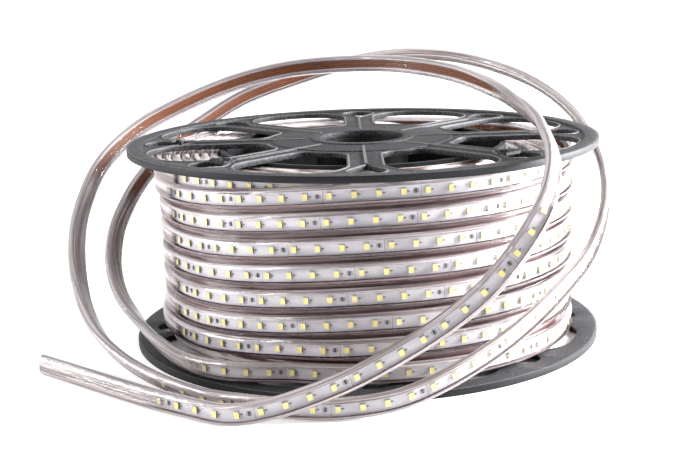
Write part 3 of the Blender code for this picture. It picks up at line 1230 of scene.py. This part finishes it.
@dataclass(frozen=True)
class WindingLine:
    """The outer layer's line: level rows with two short climbs in each turn.

    Angles are degrees from the front, counted on over the turns, and grow with the height. The
    last stretch tucks in behind the row below it.
    """

    radius: float = 163.95 * MM
    lowest: float = 13.25 * MM
    highest: float = 145.75 * MM
    turns: int = 7
    start_rise: float = 0.5 * MM
    runout: float = 3.6 * MM
    turn_start: float = -60.0
    free_start: float = 170.0
    first_climb: tuple[float, float] = (-60.0, 5.0)
    second_climb: tuple[float, float] = (110.0, 175.0)
    climb_share: float = 0.43
    sway: float = 1.6 * MM
    first_lift: float = 2.0 * MM
    first_lift_end: tuple[float, float] = (-26.0, -6.0)
    slack: float = 3.5 * MM
    slack_middle: float = -90.0
    slack_in: tuple[float, float] = (240.0, 330.0)
    slack_out: tuple[float, float] = (-130.0, -60.0)
    tuck: tuple[float, float] = (300.0, 365.0)
    tuck_depth: float = 7.5 * MM
    last_angle: float = 388.0
    step: float = 1.0
    led_slips: Table = (
        (170.0, -0.60), (310.0, -0.607), (405.0, -0.324), (670.0, -0.899), (765.0, -0.641),
        (1030.0, -1.333), (1125.0, -0.784), (1390.0, 0.521), (1485.0, 0.996), (1750.0, -0.687),
        (1845.0, -0.304), (2110.0, -1.715), (2205.0, -1.468), (2470.0, 0.073), (2565.0, 0.435),
        (2700.0, 0.50), (2822.0, 0.53), (2850.0, 0.32), (2908.0, 0.32),
    )

    def _row_height(self, row: int, local: float) -> float:
        """Height on one row, before it is held under the flange.

        Args:
            row: The row's number.
            local: Degrees from the front on that row.

        Returns:
            The height of the rope's middle.
        """
        climbs = ease(local, *self.first_climb) - 1.0 + ease(local, *self.second_climb)
        share = self.climb_share * climbs + (1.0 - 2.0 * self.climb_share) * local / 360.0
        pitch = (self.highest - self.lowest - self.runout) / self.turns
        height = self.lowest + self.start_rise + pitch * (row + share)
        if row == 1:
            height += self.first_lift * (1.0 - ease(local, *self.first_lift_end))
        return height + self.sway * math.sin(math.radians(local))

    def height(self, angle: float) -> float:
        """Height of the rope's middle.

        Args:
            angle: Degrees from the front, counted on over the turns.

        Returns:
            The height.
        """
        row = math.floor((angle - self.turn_start) / 360.0)
        local = angle - 360.0 * row
        if row == 0:
            joined = self._row_height(1, self.turn_start)
            climb = ease(local, self.free_start, self.turn_start + 360.0)
            return self.lowest + (joined - self.lowest) * climb
        return min(self._row_height(row, local), self.highest)

    def reach(self, angle: float) -> float:
        """Radius of the rope's middle.

        Args:
            angle: Degrees from the front, counted on over the turns.

        Returns:
            The radius.
        """
        last = angle - 360.0 * self.turns
        side = max(0.0, math.cos(math.radians(angle - self.slack_middle))) ** 2
        fading = 1.0 - ease(last, *self.slack_out)
        slack = self.slack * side * ease(angle, *self.slack_in) * fading
        return self.radius - slack - self.tuck_depth * ease(last, *self.tuck)

    def slip(self, angle: float) -> float:
        """How far the printed marks run ahead of the length, read between the table's rows.

        Args:
            angle: Degrees from the front, counted on over the turns.

        Returns:
            The lead in LED steps.
        """
        for (low, below), (high, above) in zip(self.led_slips, self.led_slips[1:]):
            if angle < high:
                return below + (above - below) * (angle - low) / (high - low)
        return self.led_slips[-1][1]

    def path(self, pitch: float) -> RopePath:
        """The path from the top of the winding down to where the free end starts.

        Args:
            pitch: Length of one LED step.

        Returns:
            The path.
        """
        top = self.last_angle + 360.0 * self.turns
        count = round((top - self.free_start) / self.step)
        points = []
        slips = []
        for number in range(count + 1):
            angle = top + (self.free_start - top) * number / count
            points.append(around_axis(self.reach(angle), angle, self.height(angle)))
            slips.append(self.slip(angle) * pitch)
        return RopePath(points, 0.0, slips)


@dataclass(frozen=True)
class FreeLine:
    """The free end's line: the last turn on the lowest row, then the route of the two hoops."""

    radius: float = WindingLine.radius
    height: float = WindingLine.lowest
    wrap_start: float = WindingLine.free_start
    wrap_end: float = -12.0
    wrap_steps: int = 14
    smooth_steps: int = 16
    rolls: Table = (
        (0.58, 0.0), (0.65, 18.0), (0.70, 30.0), (0.76, 58.0), (0.82, 60.0), (0.89, 36.0),
        (1.02, 0.0), (1.08, -10.0), (1.20, -62.0), (1.28, -60.0), (1.34, -50.0), (1.44, -24.0),
        (1.58, 0.0), (1.88, 0.0), (2.00, 36.0), (2.07, 34.0), (2.13, 42.0), (2.21, 63.0),
        (2.31, 36.0), (2.45, 0.0), (2.72, 0.0), (2.86, -24.0), (2.95, -30.0), (3.02, -26.0),
        (3.16, 0.0),
    )
    route: tuple[tuple[float, float, float], ...] = (
        (-58, -154.5, 13.3), (-83, -152, 13.3), (-108, -145, 13.4), (-130, -129, 13.6),
        (-149, -103, 14.5), (-169, -66, 17), (-187, -31, 24), (-202, -5, 37),
        (-211, 24, 55), (-212, 56, 75), (-206, 83, 93), (-195, 108, 111),
        (-173, 145, 134), (-141, 174, 154), (-106, 193, 172.5), (-63, 207, 186),
        (-14, 214, 198.5), (38, 215, 206.5), (88, 206, 204.5), (130, 186, 195),
        (166, 149, 180), (189, 95, 159), (197, 28, 133), (190, -32, 105.5),
        (168, -89, 80), (139, -130, 61.5), (105, -165, 43.5), (66, -195, 27.5),
        (22, -213, 13), (-19, -218.5, 8.1), (-55, -215.5, 8.1), (-88, -203, 8.1),
        (-117, -186, 8.3), (-148, -168, 14), (-178, -139, 21), (-204, -99, 31),
        (-224, -50, 48), (-236, 0, 72), (-239, 48, 96), (-229, 98, 126),
        (-201, 137, 152), (-162, 161, 171), (-114, 178, 188), (-66, 184, 198),
        (-14, 179, 202), (38, 153, 202.5), (82, 96, 198.5), (110, 30, 191),
        (124, -28, 183), (130, -77, 177.5), (129.5, -120, 172), (127.5, -157, 165),
        (122.5, -185, 153.5), (114, -203, 136), (97, -213.5, 112), (75, -218.5, 87),
        (47, -221.5, 65), (17, -223.5, 47), (-14, -226, 31.5), (-45, -230, 20.5),
        (-73, -231, 13), (-99, -224.5, 8.5), (-128, -205, 8.1), (-160, -180, 8.1),
        (-194, -149.5, 8.1), (-224, -122, 8.1), (-246, -102, 8.1),
    )

    def knots(self) -> list[Vector]:
        """The wrap's points and then the route's.

        Returns:
            The points.
        """
        knots = []
        for number in range(self.wrap_steps + 1):
            share = number / self.wrap_steps
            angle = self.wrap_start + (self.wrap_end - self.wrap_start) * share
            knots.append(around_axis(self.radius, angle, self.height))
        return knots + [Vector(place) * MM for place in self.route]

    def points(self) -> list[Vector]:
        """A smooth curve through the knots.

        Returns:
            Points close together on the curve.
        """
        knots = self.knots()
        ends = [2 * knots[0] - knots[1], *knots, 2 * knots[-1] - knots[-2]]
        line = []
        for before, start, end, after in zip(ends, ends[1:], ends[2:], ends[3:]):
            for number in range(self.smooth_steps):
                t = number / self.smooth_steps
                linear = (end - before) * t
                square = (2 * before - 5 * start + 4 * end - after) * t ** 2
                cube = (3 * start - before - 3 * end + after) * t ** 3
                line.append(0.5 * (2 * start + linear + square + cube))
        line.append(knots[-1].copy())
        return line


@dataclass
class FreeRope:
    """The rope's free end."""

    kind: RopeKind
    finishes: RopeFinishes
    start: float
    slip: float
    line: FreeLine = FreeLine()
    spacing: float = 4.5 * MM
    path_spacing: float = 20.0 * MM
    end_gap: float = 1.5 * MM
    # Stretches that hide nothing only paint shade on the sheath, where the hoops face the bright room;
    # the others are cloudy and hide the strip, the last with a little painted shade.
    haze_and_shade: tuple[HazeAndShade, ...] = (
        HazeAndShade(0.60, 0.81, 1.0, 0.0), HazeAndShade(0.76, 0.90, 0.8, 0.0), HazeAndShade(0.93, 1.20, 0.0, 0.4),
        HazeAndShade(2.00, 2.18, 1.0, 0.0), HazeAndShade(2.13, 2.33, 0.8, 0.0), HazeAndShade(2.36, 2.60, 0.0, 0.4),
        HazeAndShade(2.79, 3.03, 0.9, 0.0), HazeAndShade(3.345, 3.60, 1.0, 0.12),
    )

    def build(self) -> None:
        path = RopePath(self.line.points(), self.start, (self.slip,), self.line.rolls)
        zero = path.marks[0]
        # Free sheath: the paler upper tones are painted light, the darker lower tones and the edge tone
        # painted shade.
        sheath = SheathFinish(
            "free_sheath", (0.135, 0.102, 0.103), (0.40, 0.335, 0.34), (0.19, 0.155, 0.157),
            (0.50, 0.44, 0.447), 0.92, 0.90, edge_shade_tone=(0.13, 0.108, 0.110), edge_shade_share=0.8,
            haze_and_shade=tuple(HazeAndShade(zero + first, zero + last, *looks) for first, last, *looks in self.haze_and_shade),
        ).material()
        rope = Rope("free_rope", self.kind, path, self.finishes)
        pieces = rope.build(sheath, Slot.CLEAR, "free_rope", self.spacing, self.end_gap)
        followed = [path.station(distance).point for distance in path.distances(self.path_spacing)]
        path.end - path.start
        LOG.info("free rope is %.3f m long", path.end - path.start)


@dataclass
class Winding:
    """The wound rope: its outer layer, the layers behind it and the end turns of each layer."""

    kind: RopeKind
    finishes: RopeFinishes
    path: RopePath
    bore: float = 115.2 * MM
    layers: int = 7
    layer_pitch: float = 7.5 * MM
    low: float = 7.2 * MM
    high: float = 151.6 * MM
    spacing: float = 9.0 * MM
    end_gap: float = 0.6 * MM
    layer_gap: float = 0.2 * MM
    layer_drop: float = 9.0 * MM
    ring_points: int = 120
    steps: tuple[tuple[float, float, float], ...] = (
        (40.0, 95.0, 6.0), (-30.0, 35.0, 7.0), (-75.0, 150.0, 5.0),
        (15.0, 80.0, 8.0), (-40.0, 20.0, 6.0), (55.0, 120.0, 7.0),
    )

    def build(self) -> None:
        """Makes the whole winding."""
        # Wound sheath: the brown lower tones are painted shade and the pale upper tones painted light.
        sheath = SheathFinish(
            "wound_sheath", (0.044, 0.020, 0.022), (0.160, 0.086, 0.090), (0.19, 0.140, 0.143),
            (0.60, 0.545, 0.56), 0.90, 0.76, edge_shade_share=0.25, hidden_side=WindingLine.radius,
        ).material()
        rope = Rope("wound_rope", self.kind, self.path, self.finishes)
        rope.build(sheath, Slot.WOUND, "rope_winding", self.spacing, self.end_gap)
        # Layers seen in the gaps between rows: dark painted shade with faint painted glints.
        behind = WoundShadeAndGlints(
            "inner_layers", (0.045, 0.022, 0.025), (0.17, 0.098, 0.104), (0.055, 0.026, 0.025)
        ).material()
        # End turns: painted pale glints on their edges and painted shade between them.
        edge_on = WoundShadeAndGlints(
            "end_turns", (0.085, 0.045, 0.040), (0.70, 0.64, 0.65), (0.115, 0.052, 0.036)
        ).material()
        self._inner_layers(behind)
        self._end_turns("upper", self.high, -1.0, edge_on)
        self._end_turns("lower", self.low, 1.0, edge_on)

    def _inner_layers(self, material: bpy.types.Material) -> None:
        """The layers behind the outer one, as a thick tube.

        Args:
            material: Its material, dark painted shade.
        """
        deselect()
        outer = self.bore + (self.layers - 1) * self.layer_pitch - self.layer_gap
        depth = self.high - self.low - 2 * self.layer_drop
        middle = (self.high + self.low) / 2
        bpy.ops.mesh.primitive_cylinder_add(
            vertices=160, radius=outer, depth=depth, location=(0.0, 0.0, middle)
        )
        tube = bpy.context.object
        tube.name = "inner_layers"
        settle(tube)
        with picked_faces(tube, lambda polygon: abs(polygon.normal.z) > 0.9):
            bpy.ops.mesh.inset(thickness=outer - self.bore)
            bpy.ops.mesh.bridge_edge_loops()
        face_outward(tube)
        smooth(tube)
        dress(tube, material, Slot.WOUND)

    def _end_turns(self, name: str, edge: float, inward: float, material: bpy.types.Material) -> None:
        """The last turn of each inner layer, with the step where it drops to the next row.

        Args:
            name: Which end.
            edge: Height of the end.
            inward: 1 where the winding lies above the edge, else -1.
            material: Its material of painted glints and shade.
        """
        section = Section.rounded(self.kind.width, self.kind.thickness, 5)
        for number, (start, end, drop) in enumerate(self.steps):
            radius = self.bore + (number + 0.5) * self.layer_pitch
            points = []
            for place in range(self.ring_points + 1):
                angle = -180.0 + 360.0 * place / self.ring_points
                fall = drop * MM * (ease(angle, start, end) - ease(angle, 150.0, 180.0))
                height = edge + inward * (self.kind.width / 2 + max(0.0, fall))
                points.append(around_axis(radius, angle, height))
            path = RopePath(points[::-1])
            title = f"{name}_end_turn_{number + 1}"
            dress(Sweep.make(title, path, section, path.reach, closed=True), material, Slot.WOUND)


@dataclass(frozen=True)
class FlangeRelief:
    """Sizes of a moulded flange, from its inner face outward, and the outlines cut in it."""

    radius: float = 187.5 * MM
    thickness: float = 5.0 * MM
    web: float = 3.4 * MM
    rim_lip: float = 11.5 * MM
    bore: float = 33.5 * MM
    boss: float = 8.0 * MM
    disc_radius: float = 72.0 * MM
    disc_rise: float = 0.8 * MM
    spokes: int = 8
    spoke_width: float = 27.0 * MM
    hub_margin: float = 7.0 * MM
    rim_margin: float = 3.0 * MM
    outer_fillet: float = 32.0 * MM
    inner_fillet: float = 13.0 * MM
    drop_radius: float = 13.0 * MM
    drop_tip: float = 24.0 * MM

    @property
    def window_reach(self) -> float:
        """Radius of the windows' outer edge."""
        return self.radius - self.rim_lip - self.rim_margin

    @staticmethod
    def arc(centre: tuple[float, float], radius: float, start: float, end: float, steps: int) -> Outline:
        """Points along an arc.

        Args:
            centre: The arc's centre.
            radius: Its radius.
            start: First angle in radians.
            end: Last angle.
            steps: Number of pieces.

        Returns:
            The points, both ends among them.
        """
        angles = [start + (end - start) * step / steps for step in range(steps + 1)]
        return [(centre[0] + radius * math.cos(a), centre[1] + radius * math.sin(a)) for a in angles]

    @staticmethod
    def turned(outline: Outline, angle: float) -> Outline:
        """An outline turned about the axis."""
        cosine, sine = math.cos(angle), math.sin(angle)
        return [(x * cosine - y * sine, x * sine + y * cosine) for x, y in outline]

    @staticmethod
    def fillet(reach: float, height: float) -> tuple[tuple[float, float], float]:
        """The centre of a fillet at a distance from the axis and a height, and its angle."""
        centre = (math.sqrt(reach ** 2 - height ** 2), height)
        return centre, math.atan2(centre[1], centre[0])

    def window(self, middle: float, grow: float = 0.0) -> Outline:
        """One window's outline.

        Args:
            middle: Angle of its middle.
            grow: How far the outline stands outside the edge.

        Returns:
            The outline, counterclockwise.
        """
        side = self.spoke_width / 2 - grow
        inner = self.disc_radius + self.hub_margin - grow
        outer = self.window_reach + grow
        inner_fillet = self.inner_fillet + grow
        outer_fillet = self.outer_fillet + grow
        half_turn = math.pi / self.spokes
        inner_centre, inner_angle = self.fillet(inner + inner_fillet, side + inner_fillet)
        outer_centre, outer_angle = self.fillet(outer - outer_fillet, side + outer_fillet)
        half = self.arc((0, 0), inner, half_turn, inner_angle, 3)[:-1]
        half += self.arc(inner_centre, inner_fillet, math.pi + inner_angle, 1.5 * math.pi, 8)
        half += self.arc(outer_centre, outer_fillet, -math.pi / 2, outer_angle, 12)
        half += self.arc((0, 0), outer, outer_angle, half_turn, 4)[1:]
        lower = self.turned(half, -half_turn)
        upper = [(x, -y) for x, y in reversed(lower[1:-1])]
        return self.turned(lower + upper, middle)

    def drop(self, angle: float, grow: float = 0.0) -> Outline:
        """The drop-shaped hole at a spoke's outer end.

        Args:
            angle: The spoke's angle.
            grow: How far the outline stands outside the edge.

        Returns:
            The outline, counterclockwise.
        """
        centre = self.window_reach - self.drop_radius
        radius = self.drop_radius + grow
        opening = math.acos(self.drop_radius / self.drop_tip)
        tip = radius / math.cos(opening)
        start = math.pi + opening
        rounded = self.arc((centre, 0), radius, start, start + 2 * (math.pi - opening), 22)
        return self.turned([(centre - tip, 0.0), *rounded], angle)

    def outlines(self, grow: float = 0.0) -> list[Outline]:
        """All windows and drop holes.

        Args:
            grow: How far the outlines stand outside the edges.

        Returns:
            The outlines, windows first.
        """
        step = 2 * math.pi / self.spokes
        windows = [self.window((number + 0.5) * step, grow) for number in range(self.spokes)]
        return windows + [self.drop(number * step, grow) for number in range(self.spokes)]


@dataclass
class Flange:
    """One flange: a turned blank with its windows cut, beads round them, ribs and clips."""

    name: str
    node: str
    inner_face: float
    upside_down: bool
    finish: bpy.types.Material
    ridge_painted_highlight: bpy.types.Material
    relief: FlangeRelief = FlangeRelief()
    facets: int = 192
    edge_bevel: float = 0.45 * MM
    bead_width: float = 1.7 * MM
    bead_rise: float = 0.75 * MM
    rib_width: float = 2.2 * MM
    rib_rise: float = 0.5 * MM
    bead_gap: float = 0.4 * MM
    bead_steps: int = 6
    lip_slope: float = 0.5 * MM
    disc_slope: float = 0.4 * MM
    boss_slope: float = 0.3 * MM
    clips: tuple[float, ...] = (-45.0, -135.0, 180.0)
    clip_radius: float = 148.0 * MM
    clip_size: tuple[float, float, float] = (8.0 * MM, 17.0 * MM, 2.6 * MM)
    clip_bar: tuple[float, float, float] = (2.0 * MM, 15.0 * MM, 1.4 * MM)
    clip_cross: float = 0.62

    def build(self) -> None:
        """Makes, places and dresses the flange and its beads."""
        blank = self._blank()
        self._cut_holes(blank)
        ribs = [self._rib(number) for number in range(self.relief.spokes)]
        places = [] if self.upside_down else [math.radians(angle) for angle in self.clips]
        clips = [self._clip(angle) for angle in places]
        bars = [self._clip_bar(angle, side) for angle in places for side in (-1, 1)]
        beads = self._beads()
        self._place(blank)
        dress(blank, self.finish, Slot.REEL, self.node)
        # Ribs, clip bars and beads take the paler ridge material, which is painted highlight.
        for part, pieces, finish in (
            ("ribs", ribs, self.ridge_painted_highlight), ("clips", clips, self.finish),
            ("clip_bars", bars, self.ridge_painted_highlight), ("beads", beads, self.ridge_painted_highlight),
        ):
            if pieces:
                joined = self._join(pieces, f"{self.name}_{part}")
                self._place(joined)
                dress(joined, finish, Slot.REEL)

    def _blank(self) -> bpy.types.Object:
        """The disc with its rim lip, hub disc, boss and bore.

        Returns:
            The disc, with its inner face at height 0.
        """
        relief = self.relief
        deselect()
        bpy.ops.mesh.primitive_cylinder_add(
            vertices=self.facets, radius=relief.radius, depth=relief.thickness,
            location=(0.0, 0.0, relief.thickness / 2),
        )
        blank = bpy.context.object
        blank.name = self.name
        settle(blank)
        top = 0.9 * relief.thickness
        sink = relief.thickness - relief.web
        disc_start = relief.radius - relief.rim_lip - self.disc_slope
        boss_radius = relief.bore + relief.boss
        with picked_faces(blank, lambda face: face.normal.z > 0.9 and face.center.z > top):
            for inset, slope, rise in (
                (relief.rim_lip - self.lip_slope, self.lip_slope, -sink),
                (disc_start - relief.disc_radius, self.disc_slope, relief.disc_rise),
                (relief.disc_radius - boss_radius, self.boss_slope, sink - relief.disc_rise),
            ):
                bpy.ops.mesh.inset(thickness=inset)
                bpy.ops.mesh.inset(thickness=slope)
                bpy.ops.transform.translate(value=(0.0, 0.0, rise))
            bpy.ops.mesh.inset(thickness=boss_radius - self.boss_slope - relief.bore)
        with picked_faces(blank, lambda face: face.normal.z < -0.9):
            bpy.ops.mesh.inset(thickness=relief.radius - relief.bore)
        with picked_faces(blank, lambda face: len(face.vertices) == self.facets):
            bpy.ops.mesh.bridge_edge_loops()
        face_outward(blank)
        return blank

    def _cut_holes(self, blank: bpy.types.Object) -> None:
        """Cuts the windows and drop holes, then rounds the edges.

        Args:
            blank: The disc.
        """
        shape = bmesh.new()
        for outline in self.relief.outlines():
            low = -self.relief.thickness
            face = shape.faces.new([shape.verts.new((x, y, low)) for x, y in outline])
            grown = bmesh.ops.extrude_face_region(shape, geom=[face])
            risen = [item for item in grown["geom"] if isinstance(item, bmesh.types.BMVert)]
            bmesh.ops.translate(shape, verts=risen, vec=(0.0, 0.0, 3 * self.relief.thickness))
        cutter = link_mesh(f"{self.name}_cutter", shape)
        cut = blank.modifiers.new("windows", "BOOLEAN")
        cut.operation = "DIFFERENCE"
        cut.solver = "EXACT"
        cut.object = cutter
        apply_modifiers(blank)
        bpy.data.objects.remove(cutter, do_unlink=True)
        soften = blank.modifiers.new("edges", "BEVEL")
        soften.width = self.edge_bevel
        soften.segments = 2
        soften.limit_method = "ANGLE"
        soften.angle_limit = math.radians(40)
        apply_modifiers(blank)
        smooth(blank)

    def _beads(self) -> list[bpy.types.Object]:
        """A raised bead beside the edge of each window and drop hole.

        Returns:
            The beads.
        """
        half = self.bead_width / 2
        corners = [(-self.bead_rise, -half)]
        for step in range(self.bead_steps + 1):
            angle = math.pi * step / self.bead_steps
            corners.append((self.bead_rise * math.sin(angle), -half * math.cos(angle)))
        corners.append((-self.bead_rise, half))
        section = Section(tuple(corners))
        beads = []
        for number, outline in enumerate(self.relief.outlines(half + self.bead_gap)):
            path = RopePath([Vector((x, y, self.relief.web)) for x, y in [*outline, outline[0]]])
            name = f"{self.name}_bead_{number + 1}"
            beads.append(Sweep.make(name, path, section, path.reach, closed=True))
        return beads

    def _rib(self, number: int) -> bpy.types.Object:
        """The thin rib along a spoke.

        Args:
            number: The spoke's number.

        Returns:
            The rib.
        """
        relief = self.relief
        start = relief.bore + relief.boss + 2 * self.rib_width
        tip = relief.window_reach - relief.drop_radius - relief.drop_tip
        end = tip - self.rib_width
        high = relief.web + relief.disc_rise + self.rib_rise
        low = relief.web / 2
        sides = (end - start, self.rib_width, high - low)
        rib = add_box(sides, ((start + end) / 2, 0.0, (low + high) / 2))
        with picked_faces(rib, lambda polygon: polygon.normal.z > 0.9):
            bpy.ops.mesh.inset(thickness=0.25 * self.rib_width)
            bpy.ops.transform.translate(value=(0.0, 0.0, 0.1 * MM))
        rib.rotation_euler = (0.0, 0.0, 2 * math.pi * number / relief.spokes)
        settle(rib)
        return rib

    def _block(
        self, size: tuple[float, float, float], reach: float, height: float, around: float, turn: float
    ) -> bpy.types.Object:
        """A block with a sunken top, set on the flange.

        Args:
            size: Length outward, width and height before it is turned.
            reach: Distance of its middle from the axis.
            height: Height of its middle.
            around: Angle of its place.
            turn: Its own turn there.

        Returns:
            The block.
        """
        block = add_box(size, (0.0, 0.0, 0.0))
        with picked_faces(block, lambda polygon: polygon.normal.z > 0.9):
            bpy.ops.mesh.inset(thickness=0.22 * min(size[0], size[1]))
            bpy.ops.transform.translate(value=(0.0, 0.0, -0.3 * size[2]))
        block.location = (reach * math.cos(around), reach * math.sin(around), height)
        block.rotation_euler = (0.0, 0.0, around + turn)
        settle(block)
        return block

    def _clip(self, angle: float) -> bpy.types.Object:
        """The moulded clip across the tip of a spoke's drop hole."""
        height = self.relief.web + 0.45 * self.clip_size[2]
        return self._block(self.clip_size, self.clip_radius, height, angle, 0.0)

    def _clip_bar(self, angle: float, side: int) -> bpy.types.Object:
        """One of the two crossed bars on a clip."""
        height = self.relief.web + 0.95 * self.clip_size[2] + 0.3 * self.clip_bar[2]
        return self._block(self.clip_bar, self.clip_radius, height, angle, side * self.clip_cross)

    @staticmethod
    def _join(pieces: list[bpy.types.Object], name: str) -> bpy.types.Object:
        """Joins pieces into one object.

        Args:
            pieces: The pieces.
            name: The new object's name.

        Returns:
            The new object.
        """
        only(pieces[0])
        for piece in pieces:
            piece.select_set(True)
        bpy.ops.object.join()
        joined = bpy.context.object
        joined.name = name
        joined.data.name = name
        smooth(joined)
        return joined

    def _place(self, item: bpy.types.Object) -> None:
        """Turns a piece over where needed and lifts it to the flange's height.

        Args:
            item: The piece.
        """
        if self.upside_down:
            item.rotation_euler = (math.pi, 0.0, 0.0)
        item.location = (0.0, 0.0, self.inner_face)
        settle(item)


@dataclass
class Core:
    """The barrel and the spindle tube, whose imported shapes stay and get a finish."""

    barrel_finish: bpy.types.Material
    spindle_finish: bpy.types.Material

    def build(self) -> None:
        """Dresses both tubes."""
        for node, material in (
            ("core_barrel", self.barrel_finish), ("spindle_tube", self.spindle_finish),
        ):
            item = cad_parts[node]
            for place in item.material_slots:
                place.material = material
            LOG.info("%s: new finish", node)


def main() -> None:
    """Builds the sub-assemblies in order."""
    logging.basicConfig(level=logging.INFO, format="%(message)s")
    Studio().build()

    kind = RopeKind()
    finishes = RopeFinishes(
        strip=CircuitFinish(kind.led_pitch, kind.resistor_group).material(),
        back=CopperBack().material(),
        led=LightPartFinish(kind.led_along / 2, kind.led_across / 2, kind.led_height).material(),
        resistor=PlainFinish("resistor_black", (0.02, 0.02, 0.022), (0.10, 0.10, 0.11), 0.35).material(),
    )
    wound_path = WindingLine().path(kind.led_pitch)
    Winding(kind, finishes, wound_path).build()
    slip = wound_path.marks[-1] - wound_path.end
    FreeRope(kind, finishes, wound_path.end, slip).build()

    charcoal = MouldedPlastic(
        "reel_charcoal", (0.009, 0.009, 0.011), (0.098, 0.096, 0.102), 0.50, FlangeRelief.radius
    ).material()
    # The beads, ribs and clip bars get a paler copy of the charcoal plastic: painted highlight on the
    # raised ridges.
    lit_ridges = MouldedPlastic(
        "reel_ridges", (0.060, 0.060, 0.063), (0.19, 0.19, 0.195), 0.42, FlangeRelief.radius
    ).material()
    Flange("top_plate", "top_flange", 154.0 * MM, False, charcoal, lit_ridges).build()
    Flange("bottom_plate", "bottom_flange", 5.0 * MM, True, charcoal, lit_ridges).build()
    barrel = PlainFinish("barrel_dark", (0.010, 0.010, 0.012), (0.02, 0.02, 0.022), 0.7).material()
    spindle = PlainFinish("spindle_dark", (0.008, 0.008, 0.010), (0.02, 0.02, 0.022), 0.6).material()
    Core(barrel, spindle).build()


if __name__ == "__main__":
    main()
